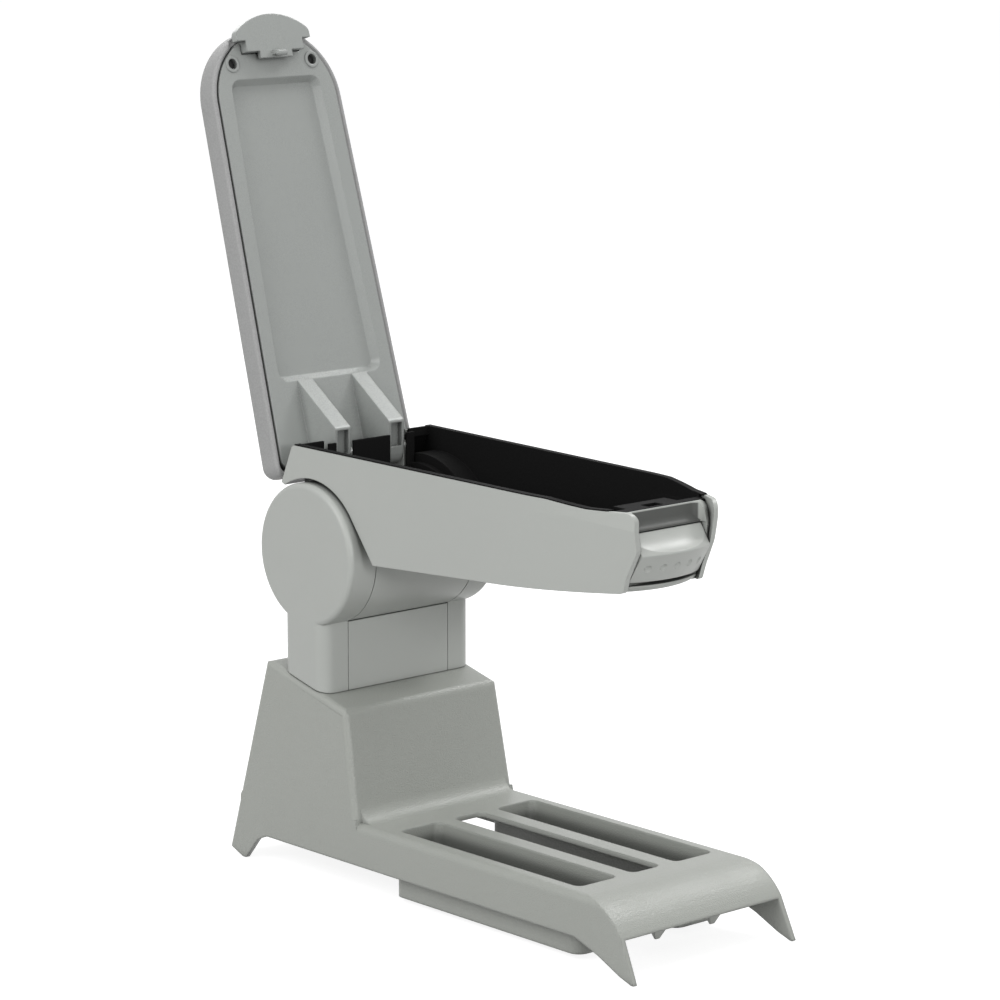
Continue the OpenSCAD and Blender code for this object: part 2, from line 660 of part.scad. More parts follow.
module arm_shell() color(plastic) difference() {
    union() {
        difference() {
            union() {
                intersection() {
                    xz(-80, 80) polygon(rounded(arm_outline()));
                    arm_sides(0, -60, nose_x + 2);
                }
                bar(0, pivot_z, drum_r, -barrel_half, barrel_half);
            }
            arm_cavity(0);
            arm_mouth(0);
            prong_well(0);
            // Hollow of the barrel around the hub
            difference() {
                bar(0, pivot_z, drum_r - arm_wall, -barrel_half + arm_wall,
                    barrel_half - arm_wall);
                bar(0, pivot_z, hub_r, -50, 50);
                // Web that closes the barrel under the well and behind the box
                translate([-60, -60, well_floor - arm_wall]) cube([120, 120, 60]);
            }
            // Front opening that takes the bezel
            arm_sides(arm_wall, bulkhead_x, nose_x + 20);
            // Front wall of the box, lower than the rim and notched for the latch's hook
            translate([0, 0, flange_z - 0.3]) linear_extrude(40)
                arm_plan(arm_wall, bulkhead_x - arm_wall - 1, bulkhead_x + 1);
            hook_room(bulkhead_x - arm_wall - 1);
            // Rear wall lowered where the lid's hinge arms swing
            translate([-60, -prong_y - prong_w - 5.5, pivot_z + drum_r - 1])
                cube([55 - hinge_back + 17.6, 2 * (prong_y + prong_w + 5.5), 60]);
        }
        both() hinge_lug(prong_y + prong_w + 0.6, prong_y + prong_w + 6);
        both() hinge_lug(prong_y - 5.6, prong_y - 0.6);
        both() bar(0, pivot_z, hub_r, barrel_half - 4, hub_half);
    }
    both() bar(0, pivot_z, arm_clear_r, barrel_half + 0.001, 90);
    both() xz(barrel_half + 0.001, 90) polygon(heel_cut(0));
    both() translate([0, barrel_half, pivot_z]) rotate([-90, 0, 0]) difference() {
        cylinder(r = arm_clear_r, h = hub_half - barrel_half + 30);
        translate([0, 0, -1]) cylinder(r = hub_r, h = hub_half - barrel_half + 1);
    }
    bar(0, pivot_z, axle_r + run_fit, -100, 100);
    both() stop_slot();
}

// Underside of the flange that the liner lays over the box's front wall
flange_z = nose_rim_z - 3.2;
flange_t = 1.6;
// Rear edge of the slot that the latch's hook catches behind
ledge_x = hinge.x + latch_root - 3.4;
hook_half = 4;

// Room in which the latch's hook swings, from x0 forward
module hook_room(x0) translate([x0, -hook_half - 2, nose_rim_z - 11])
    cube([bulkhead_x - 1.4 - x0, 2 * hook_half + 4, 40]);

// Line of the box's rim in X and Z, raised by d
function rim_line(d) = [[nose_x + 20, nose_rim_z + 0.1 + d], [nose_x - 28.5, nose_rim_z + 0.1 + d],
    [nose_x - 55.5, rim_z - 2.5 + d], [-17, rim_z + d], [-80, rim_z + d]];

module box_liner() color(black) difference() {
    union() {
        difference() {
            union() {
                arm_cavity(0.4);
                arm_mouth(0.4);
                prong_well(0.4);
            }
            arm_cavity(0.4 + liner_t);
            arm_mouth(0.4 + liner_t);
            prong_well(0.4 + liner_t);
            // Open rear end, clear of the hinge
            translate([-80, -prong_y - prong_w - 6.5, 0]) cube([80 - hinge_back + 9,
                2 * (prong_y + prong_w + 6.5), 400]);
        }
        // Flange on the rim of the box's sides
        intersection() {
            linear_extrude(400) difference() {
                arm_plan(0.7, -15.5, bulkhead_x);
                arm_plan(arm_wall + 0.4 + liner_t, -80, nose_x + 20);
                translate([-80, -prong_y - prong_w - 6.5]) square([80 - hinge_back + 9,
                    2 * (prong_y + prong_w + 6.5)]);
            }
            xz(-90, 90) polygon(concat(rim_line(0.1), [for (i = [4:-1:0]) rim_line(0.7)[i]]));
        }
        // Rear wall, open where the lid's hinge arms pass
        translate([hinge.x + 9, 0, well_floor + 0.4]) {
            translate([0, -prong_y + 0.8, 0])
                cube([liner_t, 2 * (prong_y - 0.8), rim_z - well_floor - 0.9]);
            both() translate([0, prong_y + prong_w + 0.8, 0]) {
                cube([liner_t, 4.3, rim_z - well_floor - 0.9]);
                // Above the barrel, on to the box's rear corners
                translate([0, 0, pivot_z + drum_r - well_floor])
                    cube([liner_t, 5.9, rim_z - pivot_z - drum_r - 0.9]);
            }
        }
        // Flange over the box's front wall, with the shelf that holds the latch's hook
        translate([0, 0, flange_z]) linear_extrude(flange_t) {
            arm_plan(arm_wall + 0.4, bulkhead_x - arm_wall - 1, bulkhead_x + 2.2);
            translate([bulkhead_x - arm_wall - liner_t - 11, -20]) square([12, 40]);
        }
    }
    translate([0, 0, flange_z + flange_t]) linear_extrude(40)
        arm_plan(arm_wall + 0.4 + liner_t, bulkhead_x - 30, nose_x + 20);
    hook_room(ledge_x);
    xz(-90, 90) polygon(concat(rim_line(0.7), [[-80, 400], [nose_x + 20, 400]]));
}

// Nose bezel with its finger pocket and chin

module bowed(p) translate([bow_x, 0, 0]) rotate_extrude($fn = 180)
    polygon([for (q = p) [q.x - bow_x, q.y]]);

function bezel_outline() = [[bulkhead_x - 12, nose_belly_z + 0.6, 0],
    [nose_x - 9, nose_belly_z + 0.4, 4], [nose_x - 5.3, lever_z0 - 2.9, 1],
    [nose_x - 6.3, lever_z0 - 2.1, 0.4], [nose_x + 1.8, ridge_z + 1.5, 4],
    [nose_x + 2.3, lever_z1, 8], [nose_x, nose_rim_z - 5.5, 5],
    [nose_x - 4.1, nose_rim_z - 1.6, 1], [bulkhead_x - 12, nose_rim_z - 1.6, 0]];

// The lever's outline in plan, drawn g outside it and back to x0
module lever_plan(g, x0) polygon([[x0, -lever_half_w - g - lever_flare * (nose_x - 1.1 - x0)],
    [lever_x + 20, -lever_half_w - g + lever_flare * (lever_out + 21.1)],
    [lever_x + 20, lever_half_w + g - lever_flare * (lever_out + 21.1)],
    [x0, lever_half_w + g + lever_flare * (nose_x - 1.1 - x0)]]);

module nose_bezel() color(plastic_base) difference() {
    intersection() {
        bowed(rounded(bezel_outline(), 5));
        arm_sides(arm_wall + 0.35, bulkhead_x + 0.35, nose_x + 10);
    }
    // Finger pocket over the lever, with a lip at its front
    pocket_x = bulkhead_x + 3.8;
    intersection() {
        xz(-60, 60) polygon(rounded([[pocket_x, nose_rim_z + 20, 0],
            [pocket_x, lever_z1 + 2.2, 4.5], [pocket_x + 3.6, lever_z1 + 1.6, 0],
            [pocket_x + 4, lever_z1 + 0.7, 0], [lever_x + 20, lever_z1 - 1, 0],
            [lever_x + 20, nose_rim_z + 20, 0]]));
        linear_extrude(400) slab(pocket_x, lever_x + 30, -lever_half_w - 0.6,
            lever_half_w + 0.6, 5);
    }
    // Room of the lever
    translate([0, 0, lever_z0 - 2.3]) linear_extrude(lever_z1 + 0.7 - lever_z0 + 2.3)
        lever_plan(0.6, bulkhead_x + 1.8);
    translate([bulkhead_x + 1.8, -60, lever_z0 - 2.3]) cube([60, 120, 9]);
    bar(lever_axis.x, lever_axis.y, lever_pin_r + run_fit, -lever_half_w - 5, lever_half_w + 5);
    // Step under the liner's flange
    translate([bulkhead_x - 1, -60, flange_z - 0.3]) cube([3.6, 120, 40]);
}

// Ends of the scoop's arc in X and Z, at the lever's upper edge and above its ridge
scoop_a = [bulkhead_x + 7.6, lever_z1];
scoop_b = [lever_x - 1.1, ridge_z + 1.3];

function lever_outline() = [[bow_x + 20, lever_z0, 0],
    [lever_x - 9, lever_z0, 1.5], [lever_x + 0.2, ridge_z, 1],
    [lever_x - 7.2, lever_z1, 0.8], [bow_x + 20, lever_z1, 0]];

module release_lever() color(plastic) difference() {
    intersection() {
        bowed(rounded(lever_outline(), 6));
        linear_extrude(400) lever_plan(0, bulkhead_x + 2.4);
    }
    // Scooped upper face
    h = norm(scoop_b - scoop_a) / 2;
    u = (scoop_b - scoop_a) / (2 * h);
    c = (scoop_a + scoop_b) / 2 + [-u.y, u.x] * sqrt(pow(scoop_r, 2) - pow(h, 2));
    bar(c.x, c.y, scoop_r, -60, 60);
    // Rounded upper rear edge, hollow back
    translate([bulkhead_x + 2.4, 60, lever_z1]) rotate([90, 0, 0]) linear_extrude(120)
        mirror([1, 0]) corner_waste(3);
    both() xz(1.5, lever_half_w - 2.3) polygon([[bulkhead_x, lever_z0 + 2.3],
        [bulkhead_x + 4.2, lever_z0 + 2.3], [bulkhead_x + 11, ridge_z - 2.5],
        [bulkhead_x + 11, ridge_z - 0.5], [bulkhead_x + 8, lever_axis.y - 4],
        [bulkhead_x, lever_axis.y - 4]]);
    bar(lever_axis.x, lever_axis.y, lever_pin_r + run_fit, -60, 60);
    // Finger dimples
    for (i = [0:dimple_n - 1]) {
        a = (i - (dimple_n - 1) / 2) * dimple_pitch / (lever_x - 4 - bow_x) * 180 / PI;
        translate([bow_x, 0, 0]) rotate([0, 0, a])
            translate([lever_x - 2.2 - bow_x, 0, lever_z0 + 7.2]) sphere(r = 3.5, $fn = 40);
    }
}

module lever_pin() color(steel)
    bar(lever_axis.x, lever_axis.y, lever_pin_r, -lever_half_w - 4.2, lever_half_w + 4.2);

module lid_hinge_pin() color(steel)
    bar(hinge.x, hinge.z, hinge_pin_r, -prong_y - prong_w - 5, prong_y + prong_w + 5);

// Lid: drawn closed and level with its hinge axis at the origin, then swung open

module lid_place() translate(hinge) rotate([0, -lid_dir, 0]) children();

function lid_half_at(x) = lid_half_rear + (lid_half_front - lid_half_rear)
    * x / (lid_len - lid_nose_r);

module lid_plan(t) {
    x1 = lid_len - lid_nose_r;
    r = lid_nose_r - t;
    difference() {
        union() {
            polygon([[-lid_tail + t, -lid_half_at(-lid_tail) + t], [x1, -lid_half_front + t],
                [x1, lid_half_front - t], [-lid_tail + t, lid_half_at(-lid_tail) - t]]);
            translate([x1 - 1, -lid_half_front + lid_nose_r])
                square([lid_nose_r + 1 - t, 2 * (lid_half_front - lid_nose_r)]);
            for (s = [-1, 1]) translate([x1, s * (lid_half_front - lid_nose_r)])
                circle(r, $fn = 96);
        }
        for (s = [-1, 1]) translate([-lid_tail + t, s * (lid_half_at(0) - t)])
            rotate(s > 0 ? 90 : 180) corner_waste(8);
    }
}

module recess_plan(t) polygon(rounded([
    [52.5 + t, -40.9 + t, recess_r - t], [lid_len - 31.5 - t, -35 + t, recess_r - t],
    [lid_len - 31.5 - t, 35 - t, recess_r - t], [52.5 + t, 40.9 - t, recess_r - t]], 6));

function prong_outline() = [[54, hinge_drop + 1, 0], [17.7, -14, 2], [5.3, -10.5, 3],
    [-4, -6.5, 3], [-lid_tail - 0.2, 2, 3], [-lid_tail, hinge_drop - 0.1, 0],
    [rim_w + 1 - lid_tail, hinge_drop - 0.1, 0], [rim_w + 1 - lid_tail, hinge_drop + 1, 0]];

module prong() difference() {
    xz(prong_y, prong_y + prong_w) union() {
        polygon(rounded([for (i = [7:-1:0]) prong_outline()[i]], 5));
        circle(7.4);
    }
    // Hollow end of the arm
    rotate([0, 106, 0]) translate([4.6, prong_y + 1.8, 4.5]) cube([10, prong_w - 3.6, 14.7]);
    bar(0, 0, hinge_pin_r + run_fit, 0, 60);
}

// The latch lever's outline: straight sides, a bowed crown and rounded corners between them
module latch_plan(t) {
    c = latch_len - latch_bow_r;
    y = latch_half_w - latch_corner_r;
    x = c + sqrt(pow(latch_bow_r - latch_corner_r, 2) - pow(y, 2));
    translate([latch_root - t, -latch_half_w - t])
        square([x - latch_root + t, 2 * (latch_half_w + t)]);
    for (s = [-1, 1]) translate([x, s * y]) circle(latch_corner_r + t);
    intersection() {
        translate([c, 0]) circle(latch_bow_r + t, $fn = 96);
        polygon([[x, -y], [c + 3 * (x - c), -3 * y], [c + 3 * (x - c), 3 * y], [x, y]]);
    }
}

// Corners beside the latch lever's foot, at least g from it
module latch_corners(g) for (s = [0, 1]) mirror([0, s])
    translate([latch_root - 10, latch_foot_half + g]) square([17 - g, 40]);

module lid_panel() color(plastic_lid) lid_place() difference() {
    union() {
        translate([0, 0, hinge_drop]) linear_extrude(panel_t) lid_plan(rim_w);
        both() prong();
        for (s = [-1, 1]) translate([screw_x, s * screw_y, hinge_drop - 0.6])
            cylinder(r = 5.3, h = 2);
    }
    hull() {
        translate([0, 0, hinge_drop - 0.01]) linear_extrude(0.01) recess_plan(0);
        translate([0, 0, hinge_drop + recess_depth]) linear_extrude(0.01) recess_plan(3.5);
    }
    // Well of the latch lever, open at the lid's end
    translate([0, 0, hinge_drop - 1]) linear_extrude(panel_t + 10) difference() {
        latch_plan(move_gap);
        latch_corners(move_gap);
    }
    bar(latch_axis.x, latch_axis.y, latch_pin_r + run_fit, -50, 50);
    for (s = [-1, 1]) translate([screw_x, s * screw_y, 0]) {
        translate([0, 0, hinge_drop - 2]) cylinder(r = 3.3, h = 6.5);
        cylinder(r = 1.6, h = 60);
    }
}
screw_x = lid_len - 21.5;
screw_y = latch_half_w + 2.6;

module lid_screws() color(black) lid_place() for (s = [-1, 1])
    translate([screw_x, s * screw_y, 0]) {
        translate([0, 0, hinge_drop + 2.5]) cylinder(r = 3.1, h = 1.9);
        translate([0, 0, hinge_drop + 3]) cylinder(r = 1.45, h = 11);
    }

module lid_pad() color(plastic_lid) lid_place() difference() {
    hull() {
        translate([0, 0, hinge_drop + 0.2]) linear_extrude(7) lid_plan(0);
        translate([0, 0, hinge_drop + 14]) linear_extrude(0.1) lid_plan(2.2);
        translate([0, 0, hinge_drop + 19]) linear_extrude(0.1) lid_plan(7);
        translate([0, 0, hinge_drop + lid_t - 0.1]) linear_extrude(0.1) lid_plan(22);
    }
    translate([0, 0, hinge_drop - 5]) linear_extrude(panel_t + 5.3) lid_plan(rim_w - 0.3);
    // Cut-out that the latch lever's paddle is pressed into
    translate([latch_root + 1, -latch_half_w - 0.7, hinge_drop - 5])
        cube([60, 2 * latch_half_w + 1.4, 9]);
    for (s = [-1, 1]) translate([screw_x, s * screw_y, 0]) cylinder(r = 1.8, h = hinge_drop + 15);
}

module lid_latch() color(plastic) lid_place() difference() {
    union() {
        translate([0, 0, hinge_drop - latch_rise]) linear_extrude(latch_t) difference() {
            latch_plan(0);
            latch_corners(0);
        }
        // Foot with the pin's bore
        xz(-latch_foot_half, latch_foot_half) {
            translate(latch_axis) circle(3.2);
            translate([latch_root, hinge_drop - latch_rise])
                square([7.2, latch_rise + latch_axis.y - hinge_drop]);
        }
        // Tab and the hook that catches behind the ledge of the nose bezel
        translate([latch_root - 4.4, -12.5, hinge_drop - latch_rise]) cube([5, 25, 3]);
        xz(-hook_half, hook_half) translate([latch_root, hinge_drop - latch_rise])
            polygon([[-3, 1], [-3, -4.3], [-4.4, -4.7], [-3.4, -6.1], [-1.6, -6.1],
                [-0.4, -3.9], [-0.4, 1]]);
    }
    bar(latch_axis.x, latch_axis.y, latch_pin_r + run_fit, -60, 60);
}

module latch_pin() color(steel) lid_place()
    bar(latch_axis.x, latch_axis.y, latch_pin_r, -latch_foot_half - 4, latch_foot_half + 4);

base_console();
side_cover_left();
side_cover_right();
column_front_cover();
column_rear_cover();
steel_bracket();
bracket_bolts();
axle_bolt();
axle_nut();
friction_washers();
stop_pin();
rubber_stop();
arm_shell();
box_liner();
nose_bezel();
lid_hinge_pin();
release_lever();
lever_pin();
lid_panel();
lid_pad();
lid_screws();
lid_latch();
latch_pin();
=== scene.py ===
"""Looks of a car centre armrest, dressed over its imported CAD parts.

The moulded parts, pins and bracket keep their CAD meshes and get procedural plastics and metals.
The lid's padded cover is a surface worked out on a grid, puffed by a short cloth simulation.
The frame is the CAD frame: X forward, Y left, Z up, floor at Z = 0. Lengths are in metres,
except where a docstring or a name says millimetres or mm.
"""

import logging
import math
from dataclasses import dataclass, field
from enum import Enum

import bmesh
import bpy
import numpy as np
from mathutils import Matrix, Vector


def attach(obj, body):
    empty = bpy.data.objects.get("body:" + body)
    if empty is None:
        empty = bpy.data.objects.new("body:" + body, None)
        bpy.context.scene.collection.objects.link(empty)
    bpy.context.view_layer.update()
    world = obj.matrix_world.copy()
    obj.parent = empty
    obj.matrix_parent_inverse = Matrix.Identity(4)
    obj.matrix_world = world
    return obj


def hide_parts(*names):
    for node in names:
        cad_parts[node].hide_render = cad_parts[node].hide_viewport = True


log = logging.getLogger("armrest")
MM = 0.001
MERGE = 2e-5
DEGENERATE = 1e-6
GAP_SAMPLES = 4
EDGE_SAMPLES = 6
SENSOR_MM = 36.0
PHOTO_PX = 1000.0

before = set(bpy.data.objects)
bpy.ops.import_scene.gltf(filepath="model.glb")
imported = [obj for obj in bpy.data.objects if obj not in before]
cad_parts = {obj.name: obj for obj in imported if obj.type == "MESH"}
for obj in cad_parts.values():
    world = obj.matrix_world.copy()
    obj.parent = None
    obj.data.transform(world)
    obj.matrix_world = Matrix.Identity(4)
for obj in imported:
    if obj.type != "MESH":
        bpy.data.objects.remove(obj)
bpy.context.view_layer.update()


# Node helpers

class Graph:
    """A thin layer over a node tree that adds nodes and wires them by name."""

    def __init__(self, tree: bpy.types.NodeTree) -> None:
        """Keeps the tree that nodes are added to."""
        self.tree = tree

    def add(self, kind: str, **settings: object) -> bpy.types.Node:
        """Adds one node.

        Args:
            kind: Blender's node class without its ShaderNode prefix.
            settings: node properties, or input socket values under their names.

        Returns:
            The new node.
        """
        node = self.tree.nodes.new("ShaderNode" + kind)
        for key, value in settings.items():
            if hasattr(node, key):
                setattr(node, key, value)
            else:
                node.inputs[key.replace("_", " ")].default_value = value
        return node

    def wire(self, source: bpy.types.NodeSocket, target: bpy.types.NodeSocket) -> None:
        """Links two sockets."""
        self.tree.links.new(source, target)

    def maths(self, operation: str, a: object, b: object = None) -> bpy.types.NodeSocket:
        """Adds a Math node on sockets or numbers.

        Args:
            operation: the Math node's operation.
            a: first socket or number.
            b: second socket or number.

        Returns:
            The result's socket.
        """
        node = self.add("Math", operation=operation)
        for index, value in enumerate((a, b)):
            if isinstance(value, bpy.types.NodeSocket):
                self.wire(value, node.inputs[index])
            elif value is not None:
                node.inputs[index].default_value = value
        return node.outputs[0]

    def ramp(self, value: bpy.types.NodeSocket, low: float, high: float,
             to_low: float = 0.0, to_high: float = 1.0) -> bpy.types.NodeSocket:
        """Maps a value from one range to another with a smooth step.

        Args:
            value: socket to map.
            low: value that gives to_low.
            high: value that gives to_high.
            to_low: result at low.
            to_high: result at high.

        Returns:
            The mapped value's socket.
        """
        node = self.add("MapRange", interpolation_type="SMOOTHSTEP")
        self.wire(value, node.inputs["Value"])
        for name, number in (("From Min", low), ("From Max", high),
                             ("To Min", to_low), ("To Max", to_high)):
            node.inputs[name].default_value = number
        return node.outputs["Result"]

    def below(self, value: bpy.types.NodeSocket, high: float, soft: float
              ) -> bpy.types.NodeSocket:
        """Mask that is 1 below a value and falls to 0 at it.

        Args:
            value: socket to test.
            high: value at which the mask is 0.
            soft: width of the soft edge, under that value.

        Returns:
            The mask's socket.
        """
        return self.ramp(value, high - soft, high, 1.0, 0.0)

    def within(self, value: bpy.types.NodeSocket, low: float, high: float, soft: float
               ) -> bpy.types.NodeSocket:
        """Mask that is 1 between two values and falls to 0 at them.

        Args:
            value: socket to test.
            low: lower end of the span.
            high: upper end of the span.
            soft: width of each soft edge, inside the span.

        Returns:
            The mask's socket.
        """
        return self.maths("MULTIPLY", self.ramp(value, low, low + soft),
                          self.below(value, high, soft))

    def length(self, a: bpy.types.NodeSocket, b: bpy.types.NodeSocket) -> bpy.types.NodeSocket:
        """Length of a vector in the plane: the root of the sum of two squares.

        Args:
            a: first component.
            b: second component.

        Returns:
            The length's socket.
        """
        return self.maths("SQRT", self.maths("ADD", self.maths("MULTIPLY", a, a),
                                             self.maths("MULTIPLY", b, b)))

    def place(self) -> bpy.types.NodeSocket:
        """Adds the Object coordinates, which are the CAD frame's metres.

        Returns:
            The coordinates' socket.
        """
        return self.add("TexCoord").outputs["Object"]

    def axes(self) -> tuple[bpy.types.NodeSocket, ...]:
        """Adds the Object coordinates, taken apart.

        Returns:
            The sockets of X, Y and Z.
        """
        split = self.add("SeparateXYZ")
        self.wire(self.place(), split.inputs[0])
        return tuple(split.outputs)


def new_group(name: str, inputs: dict[str, tuple[str, object]],
              outputs: dict[str, str]) -> tuple[bpy.types.NodeTree, Graph]:
    """Makes an empty shader node group with named sockets.

    Args:
        name: name of the group.
        inputs: socket type and default value of each input.
        outputs: socket type of each output.

    Returns:
        The group and a Graph on it.
    """
    tree = bpy.data.node_groups.new(name, "ShaderNodeTree")
    for label, (kind, value) in inputs.items():
        socket = tree.interface.new_socket(label, in_out="INPUT", socket_type="NodeSocket" + kind)
        socket.default_value = value
    for label, kind in outputs.items():
        tree.interface.new_socket(label, in_out="OUTPUT", socket_type="NodeSocket" + kind)
    return tree, Graph(tree)


class SurfaceEffects:
    """Node groups that several materials share: mould grain, leather creases and slow clouding.

    Spans are the two values of a texture between which a smooth step runs; ratios multiply the
    scale of the coarser texture.
    """

    CELL_SMOOTHNESS = 0.6
    PEBBLE_SPAN = (0.15, 0.75)
    FINE_RATIO = 2.3
    DRIFT_SCALE = 160.0
    PLATE_SPAN = (0.0, 0.16)
    SMALL_SPAN = (0.0, 0.2)
    SMALL_RATIO = 2.7
    SMALL_SHARE = 0.35
    CLOUD_ROUGHNESS = 0.55
    SMUDGE_SCALE = 37.0
    SMUDGE_SPAN = (0.42, 0.68)

    def __init__(self) -> None:
        """Builds each group once."""
        self.grain = self._grain()
        self.hide = self._hide()
        self.tone = self._tone()

    @classmethod
    def _grain(cls) -> bpy.types.NodeTree:
        """Pebbled grain of a mould: cells with flattened tops, and a finer noise over them.

        Returns:
            Group with a Height and a Pits output.
        """
        tree, g = new_group("mould_grain", {"Scale": ("Float", 900.0), "Roughen": ("Float", 0.5)},
                            {"Height": "Float", "Pits": "Float"})
        source = tree.nodes.new("NodeGroupInput")
        sink = tree.nodes.new("NodeGroupOutput")
        place = g.place()
        cells = g.add("TexVoronoi", feature="SMOOTH_F1")
        cells.inputs["Smoothness"].default_value = cls.CELL_SMOOTHNESS
        g.wire(place, cells.inputs["Vector"])
        g.wire(source.outputs["Scale"], cells.inputs["Scale"])
        fine = g.add("TexNoise", Detail=3.0)
        g.wire(place, fine.inputs["Vector"])
        g.wire(g.maths("MULTIPLY", source.outputs["Scale"], cls.FINE_RATIO), fine.inputs["Scale"])
        pebble = g.ramp(cells.outputs["Distance"], *cls.PEBBLE_SPAN, 1.0, 0.0)
        rough = g.maths("MULTIPLY", fine.outputs["Fac"], source.outputs["Roughen"])
        height = g.maths("ADD", pebble, rough)
        g.wire(height, sink.inputs["Height"])
        g.wire(g.maths("SUBTRACT", 1.0, pebble), sink.inputs["Pits"])
        return tree

    @classmethod
    def _hide(cls) -> bpy.types.NodeTree:
        """Leathercloth: irregular plates between thin creases, at two sizes.

        Returns:
            Group with a Height and a Crease output.
        """
        tree, g = new_group("leathercloth_creases",
                            {"Scale": ("Float", 420.0), "Warp": ("Float", 0.0012)},
                            {"Height": "Float", "Crease": "Float"})
        source = tree.nodes.new("NodeGroupInput")
        sink = tree.nodes.new("NodeGroupOutput")
        place = g.place()
        drift = g.add("TexNoise", Scale=cls.DRIFT_SCALE, Detail=2.0)
        g.wire(place, drift.inputs["Vector"])
        push = g.add("VectorMath", operation="SCALE")
        g.wire(drift.outputs["Color"], push.inputs[0])
        g.wire(source.outputs["Warp"], push.inputs["Scale"])
        moved = g.add("VectorMath", operation="ADD")
        g.wire(place, moved.inputs[0])
        g.wire(push.outputs[0], moved.inputs[1])
        plates = g.add("TexVoronoi", feature="DISTANCE_TO_EDGE")
        g.wire(moved.outputs[0], plates.inputs["Vector"])
        g.wire(source.outputs["Scale"], plates.inputs["Scale"])
        small = g.add("TexVoronoi", feature="DISTANCE_TO_EDGE")
        g.wire(moved.outputs[0], small.inputs["Vector"])
        g.wire(g.maths("MULTIPLY", source.outputs["Scale"], cls.SMALL_RATIO),
               small.inputs["Scale"])
        big = g.ramp(plates.outputs["Distance"], *cls.PLATE_SPAN)
        fine = g.maths("MULTIPLY", g.ramp(small.outputs["Distance"], *cls.SMALL_SPAN),
                       cls.SMALL_SHARE)
        g.wire(g.maths("ADD", big, fine), sink.inputs["Height"])
        g.wire(g.maths("SUBTRACT", 1.0, big), sink.inputs["Crease"])
        return tree

    @classmethod
    def _tone(cls) -> bpy.types.NodeTree:
        """Slow clouding of a colour and of its gloss, with a few faint smudges.

        Returns:
            Group with a Color and a Gloss output.
        """
        tree, g = new_group("slow_clouding",
                            {"Color": ("Color", (0.4, 0.4, 0.4, 1.0)), "Amount": ("Float", 0.06),
                             "Size": ("Float", 14.0)},
                            {"Color": "Color", "Gloss": "Float"})
        source = tree.nodes.new("NodeGroupInput")
        sink = tree.nodes.new("NodeGroupOutput")
        place = g.place()
        cloud = g.add("TexNoise", Detail=4.0)
        cloud.inputs["Roughness"].default_value = cls.CLOUD_ROUGHNESS
        g.wire(place, cloud.inputs["Vector"])
        g.wire(source.outputs["Size"], cloud.inputs["Scale"])
        level = g.maths("SUBTRACT", cloud.outputs["Fac"], 0.5)
        gain = g.maths("ADD", 1.0, g.maths("MULTIPLY", level, source.outputs["Amount"]))
        tint = g.add("VectorMath", operation="SCALE")
        g.wire(source.outputs["Color"], tint.inputs[0])
        g.wire(gain, tint.inputs["Scale"])
        g.wire(tint.outputs[0], sink.inputs["Color"])
        smudge = g.add("TexNoise", Scale=cls.SMUDGE_SCALE, Detail=5.0)
        g.wire(place, smudge.inputs["Vector"])
        g.wire(g.ramp(smudge.outputs["Fac"], *cls.SMUDGE_SPAN), sink.inputs["Gloss"])
        return tree


# Finishes

def new_material(name: str) -> tuple[bpy.types.Material, Graph, bpy.types.Node]:
    """Makes a material with nodes.

    Args:
        name: name of the material.

    Returns:
        The material, a Graph on its nodes and its Principled shader.
    """
    material = bpy.data.materials.new(name)
    material.use_nodes = True
    return material, Graph(material.node_tree), material.node_tree.nodes["Principled BSDF"]


